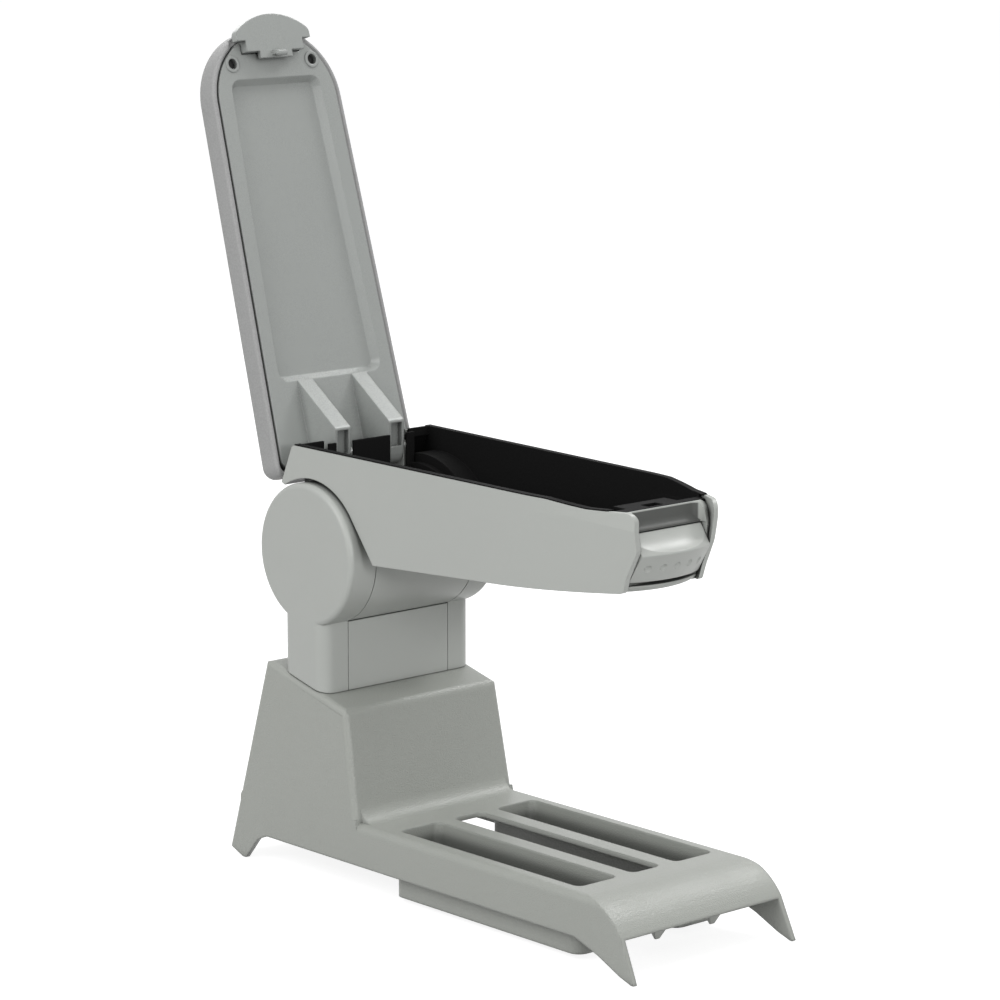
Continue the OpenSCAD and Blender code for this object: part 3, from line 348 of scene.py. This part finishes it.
@dataclass(frozen=True)
class MouldedPlastic:
    """Injection-moulded plastic with a pebbled grain, softened edges and painted shade in its
    gaps.

    Sizes are in metres. The gap fields set the painted shade in gaps: the reach of the gap test,
    the factor on the colour in a closed gap, and the openness at which that factor and the factor
    1 are reached.
    """

    name: str
    colour: tuple[float, float, float]
    roughness: float = 0.42
    grain_scale: float = 1400.0
    grain_depth: float = 0.15
    edge_radius: float = 0.0008
    clouding: float = 0.05
    specular: float = 0.5
    gap_reach: float = 0.014
    gap_shade: float = 0.16
    gap_span: tuple[float, float] = (0.0, 0.72)
    grain_height: float = 0.0002
    smudge_gloss: float = 0.05
    pit_gloss: float = 0.06

    def build(self, effects: SurfaceEffects) -> bpy.types.Material:
        """Makes the material.

        Args:
            effects: the shared node groups.

        Returns:
            The new material.
        """
        material, g, shader = new_material(self.name)
        shader.inputs["Specular IOR Level"].default_value = self.specular
        tone = g.add("Group", node_tree=effects.tone)
        tone.inputs["Color"].default_value = (*self.colour, 1.0)
        tone.inputs["Amount"].default_value = self.clouding
        grain = g.add("Group", node_tree=effects.grain)
        grain.inputs["Scale"].default_value = self.grain_scale
        # Painted shade: the colour darkens in gaps, seams and deep corners that the occlusion
        # test finds closed
        closed = g.add("AmbientOcclusion", samples=GAP_SAMPLES)
        closed.inputs["Distance"].default_value = self.gap_reach
        painted_gap_shade = g.ramp(closed.outputs["AO"], *self.gap_span, self.gap_shade, 1.0)
        shade = g.add("VectorMath", operation="SCALE")
        g.wire(tone.outputs["Color"], shade.inputs[0])
        g.wire(g.maths("MULTIPLY", self.local_shade(g), painted_gap_shade), shade.inputs["Scale"])
        g.wire(shade.outputs[0], shader.inputs["Base Color"])
        gloss = g.maths("MULTIPLY", tone.outputs["Gloss"], self.smudge_gloss)
        pits = g.maths("MULTIPLY", grain.outputs["Pits"], self.pit_gloss)
        g.wire(g.maths("ADD", g.maths("ADD", gloss, pits), self.roughness),
               shader.inputs["Roughness"])
        soft = g.add("Bevel", samples=EDGE_SAMPLES)
        soft.inputs["Radius"].default_value = self.edge_radius
        bump = g.add("Bump", Strength=self.grain_depth, Distance=self.grain_height)
        g.wire(grain.outputs["Height"], bump.inputs["Height"])
        g.wire(soft.outputs["Normal"], bump.inputs["Normal"])
        g.wire(bump.outputs["Normal"], shader.inputs["Normal"])
        return material

    def local_shade(self, g: Graph) -> bpy.types.NodeSocket | float:
        """Painted shade as a factor on the colour, which depends on the place; a plain moulding
        has none.

        Args:
            g: graph of the material.

        Returns:
            Socket of the factor, or the number 1.
        """
        return 1.0


@dataclass(frozen=True)
class BezelPlastic(MouldedPlastic):
    """Moulded plastic of the nose bezel, with painted shade inside its finger pocket.

    The pocket's fields are its half width, its span of height, the axis and radius of the bowed
    front, the factor on the colour, and the widths of the soft edges.
    """

    pocket_half: float = 0.0270
    pocket_height: tuple[float, float] = (0.2405, 0.2576)
    bow_centre: float = 0.1955
    bow_radius: float = 0.0660
    pocket_shade: float = 0.23
    soft_height: float = 0.0008
    soft_side: float = 0.0012
    soft_bow: float = 0.002

    def local_shade(self, g: Graph) -> bpy.types.NodeSocket:
        """Painted shade: darker inside the pocket.

        The mask is the product of three spans: over the pocket's height, within half its width,
        and nearer to the axis of the bowed front than the pocket's lip.

        Args:
            g: graph of the material.

        Returns:
            Socket of the colour's factor.
        """
        x, y, z = g.axes()
        side = g.maths("ABSOLUTE", y)
        reach = g.length(g.maths("SUBTRACT", x, self.bow_centre), side)
        mask = g.maths("MULTIPLY", g.within(z, *self.pocket_height, self.soft_height),
                       g.below(side, self.pocket_half, self.soft_side))
        mask = g.maths("MULTIPLY", mask, g.below(reach, self.bow_radius, self.soft_bow))
        return g.ramp(mask, 0.0, 1.0, 1.0, self.pocket_shade)


@dataclass(frozen=True)
class ConsolePlastic(MouldedPlastic):
    """Moulded plastic of the console, with painted shade down inside its pockets and its middle
    slot.

    The fields give the middle and half sizes of the rectangle round both pockets' openings, its
    corner radius, the pockets' wall, the height where the darkening starts, the depth that it
    takes, and the factor that it ends at.
    """

    slots_centre: float = 0.1595
    slots_half: tuple[float, float] = (0.0790, 0.0540)
    slots_corner: float = 0.0050
    wall: float = 0.0024
    slots_top: float = 0.0424
    fall: float = 0.012
    deep_shade: float = 0.34

    def local_shade(self, g: Graph) -> bpy.types.NodeSocket:
        """Painted shade: darker with depth below the plate, between the outer walls of the two
        pockets.

        The factor falls from 1 at the plate's top face to its lowest value at ``fall`` below it.
        It acts inside a rectangle with rounded corners whose edge lies within the pockets' outer
        walls: where the distance past the corners' centre lines is under the corner radius and
        half the wall.

        Args:
            g: graph of the material.

        Returns:
            Socket of the colour's factor.
        """
        x, y, z = g.axes()
        along = g.maths("ABSOLUTE", g.maths("SUBTRACT", x, self.slots_centre))
        side = g.maths("ABSOLUTE", y)
        past = [g.maths("MAXIMUM", g.maths("SUBTRACT", value, half - self.slots_corner), 0.0)
                for value, half in zip((along, side), self.slots_half)]
        edge = self.slots_corner + self.wall / 2
        soft = self.wall / 4
        mask = g.maths("MULTIPLY", g.below(g.length(*past), edge + soft, soft),
                       g.below(z, self.slots_top, self.fall))
        return g.ramp(mask, 0.0, 1.0, 1.0, self.deep_shade)


@dataclass(frozen=True)
class Leathercloth:
    """Grained vinyl drawn tight over foam."""

    name: str
    colour: tuple[float, float, float]
    roughness: float = 0.5
    scale: float = 520.0
    depth: float = 0.35
    crease_shade: float = 0.82
    crease_height: float = 0.00025
    crease_gloss: float = 0.12
    specular: float = 0.45
    clouding: float = 0.08
    cloud_size: float = 22.0

    def build(self, effects: SurfaceEffects) -> bpy.types.Material:
        """Makes the material.

        Args:
            effects: the shared node groups.

        Returns:
            The new material.
        """
        material, g, shader = new_material(self.name)
        shader.inputs["Specular IOR Level"].default_value = self.specular
        tone = g.add("Group", node_tree=effects.tone)
        tone.inputs["Color"].default_value = (*self.colour, 1.0)
        tone.inputs["Amount"].default_value = self.clouding
        tone.inputs["Size"].default_value = self.cloud_size
        hide = g.add("Group", node_tree=effects.hide)
        hide.inputs["Scale"].default_value = self.scale
        shade = g.add("Mix", data_type="RGBA", blend_type="MULTIPLY")
        g.wire(hide.outputs["Crease"], shade.inputs["Factor"])
        g.wire(tone.outputs["Color"], shade.inputs["A"])
        shade.inputs["B"].default_value = (*(self.crease_shade,) * 3, 1.0)
        g.wire(shade.outputs["Result"], shader.inputs["Base Color"])
        dull = g.maths("MULTIPLY", hide.outputs["Crease"], self.crease_gloss)
        g.wire(g.maths("ADD", self.roughness, dull), shader.inputs["Roughness"])
        bump = g.add("Bump", Strength=self.depth, Distance=self.crease_height)
        g.wire(hide.outputs["Height"], bump.inputs["Height"])
        g.wire(bump.outputs["Normal"], shader.inputs["Normal"])
        return material


@dataclass(frozen=True)
class PlatedSteel:
    """Zinc-plated steel with a faint spangle."""

    name: str
    colour: tuple[float, float, float] = (0.55, 0.56, 0.57)
    roughness: float = 0.32
    spangle: float = 0.25
    spangle_size: float = 160.0
    smudge_gloss: float = 0.12
    edge_radius: float = 0.0004
    edge_samples: int = 4

    def build(self, effects: SurfaceEffects) -> bpy.types.Material:
        """Makes the material.

        Args:
            effects: the shared node groups.

        Returns:
            The new material.
        """
        material, g, shader = new_material(self.name)
        shader.inputs["Metallic"].default_value = 1.0
        tone = g.add("Group", node_tree=effects.tone)
        tone.inputs["Color"].default_value = (*self.colour, 1.0)
        tone.inputs["Amount"].default_value = self.spangle
        tone.inputs["Size"].default_value = self.spangle_size
        g.wire(tone.outputs["Color"], shader.inputs["Base Color"])
        gloss = g.maths("MULTIPLY", tone.outputs["Gloss"], self.smudge_gloss)
        g.wire(g.maths("ADD", self.roughness, gloss), shader.inputs["Roughness"])
        soft = g.add("Bevel", samples=self.edge_samples)
        soft.inputs["Radius"].default_value = self.edge_radius
        g.wire(soft.outputs["Normal"], shader.inputs["Normal"])
        return material


class Slot(Enum):
    """Names of the finishes: the record's material slots, and one for the nose bezel alone, which
    has painted shade in its finger pocket.
    """

    ARM = "arm_plastic"
    BEZEL = "bezel_plastic"
    BASE = "base_plastic"
    LID = "lid_plastic"
    COVER = "lid_cover"
    LINER = "liner_black"
    RUBBER = "black_rubber"
    SCREW = "screw_black"
    STEEL = "zinc_steel"


FINISHES = {
    Slot.ARM: MouldedPlastic(
        "arm_plastic", (0.415, 0.430, 0.408), roughness=0.33, grain_scale=1900.0,
        grain_depth=0.08),
    Slot.BEZEL: BezelPlastic(
        "bezel_plastic", (0.415, 0.430, 0.408), roughness=0.42, grain_scale=1900.0,
        grain_depth=0.08, specular=0.22),
    Slot.BASE: ConsolePlastic(
        "base_plastic", (0.340, 0.353, 0.327), roughness=0.32, grain_scale=1150.0,
        grain_depth=0.50, edge_radius=0.0022, gap_shade=0.2),
    Slot.LID: MouldedPlastic(
        "lid_plastic", (0.325, 0.340, 0.328), roughness=0.24, grain_scale=2100.0,
        grain_depth=0.05, edge_radius=0.0012, clouding=0.08),
    Slot.COVER: Leathercloth(
        "lid_cover", (0.335, 0.337, 0.335), depth=0.16, crease_shade=0.9),
    Slot.LINER: MouldedPlastic(
        "liner_black", (0.0055, 0.0055, 0.0055), roughness=0.7, grain_scale=1500.0,
        grain_depth=0.2, specular=0.1),
    Slot.RUBBER: MouldedPlastic(
        "black_rubber", (0.014, 0.014, 0.014), roughness=0.7, grain_scale=900.0,
        grain_depth=0.2, specular=0.1),
    Slot.SCREW: MouldedPlastic(
        "screw_black", (0.012, 0.012, 0.012), roughness=0.45, grain_scale=900.0,
        grain_depth=0.1),
    Slot.STEEL: PlatedSteel("zinc_steel"),
}


class Workshop:
    """Holds the finished materials and puts them on pieces."""

    def __init__(self) -> None:
        """Builds every finish once."""
        effects = SurfaceEffects()
        self.materials = {slot: finish.build(effects) for slot, finish in FINISHES.items()}

    def dress(self, obj: bpy.types.Object, slot: Slot) -> None:
        """Puts one finish on an object.

        Args:
            obj: CAD node or new piece.
            slot: the finish.
        """
        obj.data.materials.clear()
        obj.data.materials.append(self.materials[slot])
        log.info("dressed %s in %s", obj.name, slot.value)

    def dress_nodes(self, parts: dict[Slot, tuple[str, ...]]) -> None:
        """Puts finishes on CAD nodes.

        Args:
            parts: names of the nodes under each finish.
        """
        for slot, names in parts.items():
            for name in names:
                self.dress(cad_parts[name], slot)


def grid_mesh(name: str, points: np.ndarray, wrap: bool = True) -> bpy.types.Object:
    """Makes a mesh from a grid of points.

    Each cell between neighbouring rows and columns becomes one quad; the columns may wrap round.

    Args:
        name: name of the object.
        points: array of rows, columns and 3 coordinates.
        wrap: whether the last column joins the first.

    Returns:
        The new object, linked to the scene, at the origin.
    """
    rows, columns = points.shape[:2]
    r = np.arange(rows - 1)[:, None]
    c = np.arange(columns if wrap else columns - 1)[None, :]
    nxt = (c + 1) % columns
    quads = np.stack([r * columns + c, r * columns + nxt, (r + 1) * columns + nxt,
                      (r + 1) * columns + c], axis=-1).reshape(-1, 4)
    mesh = bpy.data.meshes.new(name)
    mesh.from_pydata(points.reshape(-1, 3).tolist(), [], quads.tolist())
    mesh.polygons.foreach_set("use_smooth", np.ones(len(mesh.polygons), bool))
    obj = bpy.data.objects.new(name, mesh)
    bpy.context.scene.collection.objects.link(obj)
    return obj


# Sub-assemblies

@dataclass
class Console:
    """Slotted base, column covers, steel bracket and the tilt's small parts."""

    shop: Workshop
    parts: dict[Slot, tuple[str, ...]] = field(default_factory=lambda: {
        Slot.BASE: ("base_console",),
        Slot.ARM: ("side_cover_left", "side_cover_right", "column_front_cover",
                   "column_rear_cover"),
        Slot.STEEL: ("steel_bracket", "bracket_bolts", "axle_bolt", "axle_nut",
                     "friction_washers", "stop_pin"),
        Slot.RUBBER: ("rubber_stop",),
    })

    def build(self) -> None:
        """Dresses the CAD nodes."""
        self.shop.dress_nodes(self.parts)


@dataclass
class ArmBox:
    """Tilting storage box with its lining, nose bezel, release lever and pins."""

    shop: Workshop
    parts: dict[Slot, tuple[str, ...]] = field(default_factory=lambda: {
        Slot.ARM: ("arm_shell", "release_lever"),
        Slot.BEZEL: ("nose_bezel",),
        Slot.LINER: ("box_liner",),
        Slot.STEEL: ("lid_hinge_pin", "lever_pin"),
    })

    def build(self) -> None:
        """Dresses the CAD nodes."""
        self.shop.dress_nodes(self.parts)


@dataclass
class Lid:
    """Lid with its hard inner panel, latch lever and padded cover.

    The pad is worked out in lid coordinates: x along the lid from the hinge axis, y across,
    z away from the panel. place() then leans it back on its hinge as the CAD does. Lengths are
    in millimetres and the direction is in degrees.
    """

    shop: Workshop
    parts: dict[Slot, tuple[str, ...]] = field(default_factory=lambda: {
        Slot.LID: ("lid_panel", "lid_latch"),
        Slot.SCREW: ("lid_screws",),
        Slot.STEEL: ("latch_pin",),
    })
    hinge: tuple[float, float, float] = (-17.6, 0.0, 252.0)
    direction: float = 106.3
    drop: float = 14.1
    length: float = 273.0
    tail: float = 5.7
    half_rear: float = 55.2
    half_front: float = 50.4
    nose_radius: float = 46.0
    rear_radius: float = 8.0
    rim: float = 4.2
    thickness: float = 23.0
    latch_root: float = 257.5
    latch_half: float = 28.7
    # Points of the half outline: tail, rear corner, front corner, nose; then of the whole one
    tail_points: int = 10
    rear_points: int = 14
    front_points: int = 40
    nose_points: int = 4
    columns: int = 320
    # Section: insets past the rim and heights in the groove, then the rounded rim and lip
    groove_rows: tuple[tuple[float, float], ...] = ((0.35, 7.3), (0.35, 4.0), (0.45, 1.6))
    rim_gap: float = 0.5
    rim_round: float = 1.3
    rim_height: float = 1.5
    lip_round: float = 1.9
    lip_height: float = 0.2
    round_points: int = 7
    # Section: heights on the side wall, then the bend to the back and the crown
    wall_rows: tuple[float, ...] = (4.0, 6.5, 9.0, 11.0)
    bend_height: float = 12.0
    bend_stretch: float = 1.25
    bend_inset: float = 1.0
    bend_drop: float = 1.2
    bend_points: int = 16
    crown_rise: float = 1.6
    crown_points: int = 12
    # Spine that the crowned back closes on: its distances from the hinge and from the nose
    spine_ends: tuple[float, float] = (46.0, 52.0)
    # Dip under the latch lever's paddle: its height, the slopes beside it, the rows it moves
    dip_height: float = 4.0
    dip_slope: float = 2.5
    dip_side: float = 1.2
    dip_below: float = 4.5
    floor_shares: tuple[float, ...] = (0.35, 0.7, 1.0)
    # Cloth: depth of the rows that are held, greatest swell, pressure and simulated frames
    held_depth: float = 5.0
    swell: float = 2.2
    pressure: float = 1.2
    stiffness: float = 40.0
    frames: int = 12

    def build(self) -> None:
        """Dresses the CAD nodes and makes the padded cover."""
        self.shop.dress_nodes(self.parts)
        pad = self.make_pad()
        self.puff(pad)
        self.shop.dress(pad, Slot.COVER)
        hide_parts("lid_pad")
        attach(pad, "lid")
        log.info("made %s with %d faces", pad.name, len(pad.data.polygons))

    def place(self, points: np.ndarray) -> np.ndarray:
        """Turns lid coordinates in millimetres into the frame's metres.

        Args:
            points: array whose last axis is x, y, z.

        Returns:
            The same points about the hinge, turned by the lid's lean.
        """
        a = math.radians(-self.direction)
        x, y, z = points[..., 0], points[..., 1], points[..., 2]
        out = np.stack([self.hinge[0] + x * math.cos(a) + z * math.sin(a), y,
                        self.hinge[2] - x * math.sin(a) + z * math.cos(a)], axis=-1)
        return out * MM

    def outline(self) -> tuple[np.ndarray, np.ndarray]:
        """Plan outline of the cover, anticlockwise from above.

        The half outline runs from the tail's middle round the rear corner, along the tapering
        side, and round the front corner to the nose's middle; the other half mirrors it.

        Returns:
            Points and their outward unit normals, both as arrays of x and y.
        """
        x1 = self.length - self.nose_radius
        rr, rn = self.rear_radius, self.nose_radius
        slope = math.atan2(self.half_rear - self.half_front, x1)
        rear_half = self.half_rear + self.tail * math.tan(slope)
        t = np.linspace(0.0, math.pi / 2 - slope, self.rear_points)
        corner_y = rear_half - rr * (1 + math.sin(slope)) / math.cos(slope) + rr * math.tan(slope)
        rear = np.stack([-self.tail + rr - rr * np.cos(t), corner_y + rr * np.sin(t)], -1)
        t = np.linspace(math.pi / 2 - slope, 0.0, self.front_points)
        front = np.stack([x1 + rn * np.cos(t), self.half_front - rn + rn * np.sin(t)], -1)
        tail_row = np.stack([np.full(self.tail_points, -self.tail),
                             np.linspace(0, rear[0, 1], self.tail_points)], -1)
        nose_row = np.stack([np.full(self.nose_points, self.length),
                             np.linspace(front[-1, 1], 0, self.nose_points)], -1)
        half = np.concatenate([tail_row[:-1], rear, front, nose_row[1:]])
        step = np.r_[0, np.cumsum(np.linalg.norm(np.diff(half, axis=0), axis=1))]
        s = np.linspace(0, step[-1], self.columns // 2 + 1)
        half = np.stack([np.interp(s, step, half[:, 0]), np.interp(s, step, half[:, 1])], -1)
        loop = np.concatenate([half[:-1], (half * [1, -1])[::-1][:-1]])[::-1]
        along = np.roll(loop, -1, 0) - np.roll(loop, 1, 0)
        along /= np.linalg.norm(along, axis=1, keepdims=True)
        return loop, np.stack([along[:, 1], -along[:, 0]], -1)

    def section(self) -> np.ndarray:
        """Section of the cover as rows of inset and height above the panel's face.

        It starts in the groove beside the panel, turns over the rim, swells round the side and
        rises to the crowned back.

        Returns:
            Array of inset, height and crown share.
        """
        groove = [(self.rim - gap, z, 0) for gap, z in self.groove_rows]
        quarter = np.linspace(0, math.pi / 2, self.round_points)
        under = self.rim - self.rim_gap
        rim = [(under - self.rim_round * math.sin(a),
                self.rim_height - self.rim_round * math.sin(a), 0) for a in quarter[1:]]
        lip = [(self.lip_round * (1 - math.sin(a)),
                self.lip_round * (1 - math.cos(a)) + self.lip_height, 0) for a in quarter]
        wall = [(0.0, z, 0) for z in self.wall_rows]
        quarter = np.linspace(0, math.pi / 2, self.bend_points)[1:]
        r = self.thickness - self.bend_height - self.bend_inset
        bend = [(r * self.bend_stretch * (1 - math.cos(a)),
                 self.bend_height + (r - self.bend_drop) * math.sin(a), 0) for a in quarter]
        crown = [(*bend[-1][:2], c) for c in np.linspace(0, 1, self.crown_points)[1:]]
        return np.array(groove + rim + lip + wall + bend + crown)

    def make_pad(self) -> bpy.types.Object:
        """Carries the section round the outline.

        A point is the outline moved inwards by its inset. On the crowned back it moves on by its
        share towards the nearest point of the lid's spine, and rises by the crown's rise times
        one minus the square of what is left of that share.

        Returns:
            The pad as one closed mesh.
        """
        loop, out = self.outline()
        rows = self.section()
        inset, height, share = rows[:, 0, None], rows[:, 1, None], rows[:, 2, None]
        x = loop[None, :, 0] - out[None, :, 0] * inset
        y = loop[None, :, 1] - out[None, :, 1] * inset
        spine = np.clip(loop[:, 0], self.spine_ends[0], self.length - self.spine_ends[1])[None, :]
        x = x + (spine - x) * share
        y = y * (1 - share)
        z = self.drop + height + self.crown_rise * (1 - (1 - share) ** 2)
        # The rim dips under the latch lever's paddle
        along = np.clip((x - self.latch_root - 1) / self.dip_slope, 0, 1)
        across = np.clip((self.latch_half + self.dip_side - np.abs(y)) / self.dip_side, 0, 1)
        dipped = z + (self.drop + self.dip_height - z) * along * across
        z = np.where(height < self.dip_below, np.maximum(z, dipped), z)
        skin = np.stack([x, y, z], -1)
        floor_rows = []
        for part in self.floor_shares:
            row = skin[:1].copy()
            row[..., 0] += (spine - row[..., 0]) * part
            row[..., 1] *= 1 - part
            floor_rows.append(row)
        skin = np.concatenate(floor_rows[::-1] + [skin])
        pad = grid_mesh("lid_padded_cover", self.place(skin))
        self.seal(pad)
        return pad

    @staticmethod
    def seal(obj: bpy.types.Object) -> None:
        """Merges the spine's doubled points and turns every face outwards.

        Args:
            obj: the pad.
        """
        bm = bmesh.new()
        bm.from_mesh(obj.data)
        bmesh.ops.remove_doubles(bm, verts=bm.verts, dist=MERGE)
        bmesh.ops.dissolve_degenerate(bm, edges=bm.edges, dist=DEGENERATE)
        bmesh.ops.recalc_face_normals(bm, faces=bm.faces)
        for face in bm.faces:
            face.smooth = True
        bm.to_mesh(obj.data)
        bm.free()

    def puff(self, pad: bpy.types.Object) -> None:
        """Swells the cover by a short cloth simulation with pressure, held at its rim.

        Each point's move is cut to the greatest swell, and the rim doesn't move.

        Args:
            pad: the pad, changed in place.
        """
        mesh = pad.data
        start = np.empty(len(mesh.vertices) * 3)
        mesh.vertices.foreach_get("co", start)
        start = start.reshape(-1, 3)
        a = math.radians(self.direction)
        rel = start / MM - np.array(self.hinge)
        depth = rel[:, 0] * -math.sin(a) + rel[:, 2] * math.cos(a) - self.drop
        group = pad.vertex_groups.new(name="held")
        held = np.nonzero(depth < self.held_depth)[0]
        group.add(held.tolist(), 1.0, "REPLACE")
        modifier = pad.modifiers.new("puff", "CLOTH")
        cloth = modifier.settings
        cloth.quality = 5
        cloth.mass = 0.3
        cloth.tension_stiffness = self.stiffness
        cloth.compression_stiffness = self.stiffness
        cloth.bending_stiffness = 2.0
        cloth.use_pressure = True
        cloth.uniform_pressure_force = self.pressure
        cloth.vertex_group_mass = "held"
        cloth.effector_weights.gravity = 0.0
        scene = bpy.context.scene
        for step in range(1, self.frames + 1):
            scene.frame_set(step)
        deps = bpy.context.evaluated_depsgraph_get()
        moved = np.empty(len(mesh.vertices) * 3)
        pad.evaluated_get(deps).data.vertices.foreach_get("co", moved)
        move = moved.reshape(-1, 3) - start
        size = np.linalg.norm(move, axis=1, keepdims=True)
        move *= np.minimum(1.0, self.swell * MM / np.maximum(size, 1e-9))
        pad.modifiers.remove(modifier)
        pad.vertex_groups.clear()
        scene.frame_set(1)
        mesh.vertices.foreach_set("co", (start + move).ravel())
        mesh.update()
        log.info("puffed %s by up to %.1f mm", pad.name, min(self.swell, size.max() / MM))


# Stage

@dataclass(frozen=True)
class Lamp:
    """One soft rectangular lamp that looks at the armrest."""

    name: str
    place: tuple[float, float, float]
    size: tuple[float, float]
    power: float
    target: tuple[float, float, float] = (0.05, 0.0, 0.25)

    def build(self) -> None:
        """Makes the lamp."""
        data = bpy.data.lights.new(self.name, "AREA")
        data.shape = "RECTANGLE"
        data.size, data.size_y = self.size
        data.energy = self.power
        obj = bpy.data.objects.new(self.name, data)
        bpy.context.scene.collection.objects.link(obj)
        obj.location = self.place
        look = Vector(self.target) - Vector(self.place)
        obj.rotation_euler = look.to_track_quat("-Z", "Y").to_euler()


@dataclass
class Studio:
    """Pale floor, soft lamps, white surround and the camera."""

    camera_place: tuple[float, float, float] = (1.7868, -1.4976, 0.6687)
    camera_look: tuple[float, float, float] = (-0.7326, 0.6546, -0.1864)
    focal_px: float = 3859.0
    world_level: float = 0.41
    floor_half: float = 15.0
    floor_height: float = -0.0006
    floor_tone: float = 0.4
    floor_glow: float = 0.86
    lamps: tuple[Lamp, ...] = (
        Lamp("lamp_key", (0.0, -2.2, 1.5), (1.6, 1.6), 28.5),
        Lamp("lamp_top", (0.3, 0.2, 2.4), (2.0, 2.0), 14.0),
        Lamp("lamp_front", (2.4, -0.2, 0.45), (1.2, 0.8), 0.5),
        Lamp("lamp_back", (-2.0, 0.9, 1.4), (1.2, 1.2), 8.0),
        Lamp("lamp_far", (0.2, 1.6, 2.0), (0.6, 0.6), 17.0),
        Lamp("lamp_near", (1.6, -1.8, 1.2), (0.3, 0.3), 4.0),
        Lamp("lamp_ridge", (2.3, -0.65, 0.78), (0.4, 0.4), 14.0),
    )

    def build(self) -> None:
        """Sets the view, the world, the lamps, the floor and the camera."""
        scene = bpy.context.scene
        scene.view_settings.view_transform = "Standard"
        self.make_world(scene)
        for lamp in self.lamps:
            lamp.build()
        self.make_floor()
        self.make_camera(scene)

    @staticmethod
    def seen(g: Graph) -> bpy.types.NodeSocket:
        """Mask that is 1 for rays that show the surround: camera, glossy and transmission rays.

        Args:
            g: graph of the material or world.

        Returns:
            The mask's socket.
        """
        path = g.add("LightPath")
        mask = g.maths("MAXIMUM", path.outputs["Is Camera Ray"], path.outputs["Is Glossy Ray"])
        return g.maths("MAXIMUM", mask, path.outputs["Is Transmission Ray"])

    def make_world(self, scene: bpy.types.Scene) -> None:
        """Even white light, shown as pure white.

        Args:
            scene: scene that gets the world.
        """
        world = bpy.data.worlds.new("white_surround")
        scene.world = world
        world.use_nodes = True
        g = Graph(world.node_tree)
        back = world.node_tree.nodes["Background"]
        back.inputs["Color"].default_value = (1.0, 1.0, 1.0, 1.0)
        level = g.add("MapRange")
        g.wire(self.seen(g), level.inputs["Value"])
        level.inputs["To Min"].default_value = self.world_level
        level.inputs["To Max"].default_value = 1.0
        g.wire(level.outputs["Result"], back.inputs["Strength"])

    def make_floor(self) -> None:
        """Wide pale floor just under the leg tips that shows white with soft shadows."""
        t = np.linspace(-self.floor_half, self.floor_half, 3)
        points = np.stack(np.meshgrid(t, t, [self.floor_height], indexing="ij"), -1)[:, :, 0, :]
        floor = grid_mesh("studio_floor", points[::-1], wrap=False)
        material, g, shader = new_material("studio_floor")
        shader.inputs["Base Color"].default_value = (*(self.floor_tone,) * 3, 1.0)
        shader.inputs["Roughness"].default_value = 1.0
        shader.inputs["Specular IOR Level"].default_value = 0.0
        shader.inputs["Emission Color"].default_value = (1.0, 1.0, 1.0, 1.0)
        g.wire(g.maths("MULTIPLY", self.seen(g), self.floor_glow),
               shader.inputs["Emission Strength"])
        floor.data.materials.append(material)

    def make_camera(self, scene: bpy.types.Scene) -> None:
        """Camera at the photograph's place, level, with its long lens.

        Args:
            scene: scene that gets the camera.
        """
        data = bpy.data.cameras.new("camera")
        data.sensor_fit = "HORIZONTAL"
        data.sensor_width = SENSOR_MM
        data.lens = self.focal_px * SENSOR_MM / PHOTO_PX
        data.clip_end = 100.0
        camera = bpy.data.objects.new("camera", data)
        scene.collection.objects.link(camera)
        look = Vector(self.camera_look).normalized()
        right = look.cross(Vector((0, 0, 1))).normalized()
        up = right.cross(look)
        turn = Matrix((right, up, -look)).transposed().to_4x4()
        camera.matrix_world = Matrix.Translation(Vector(self.camera_place)) @ turn
        scene.camera = camera


def main() -> None:
    """Builds the armrest's looks and its studio."""
    logging.basicConfig(level=logging.INFO, format="%(message)s")
    shop = Workshop()
    for part in (Console(shop), ArmBox(shop), Lid(shop)):
        part.build()
    Studio().build()


if __name__ == "__main__":
    main()
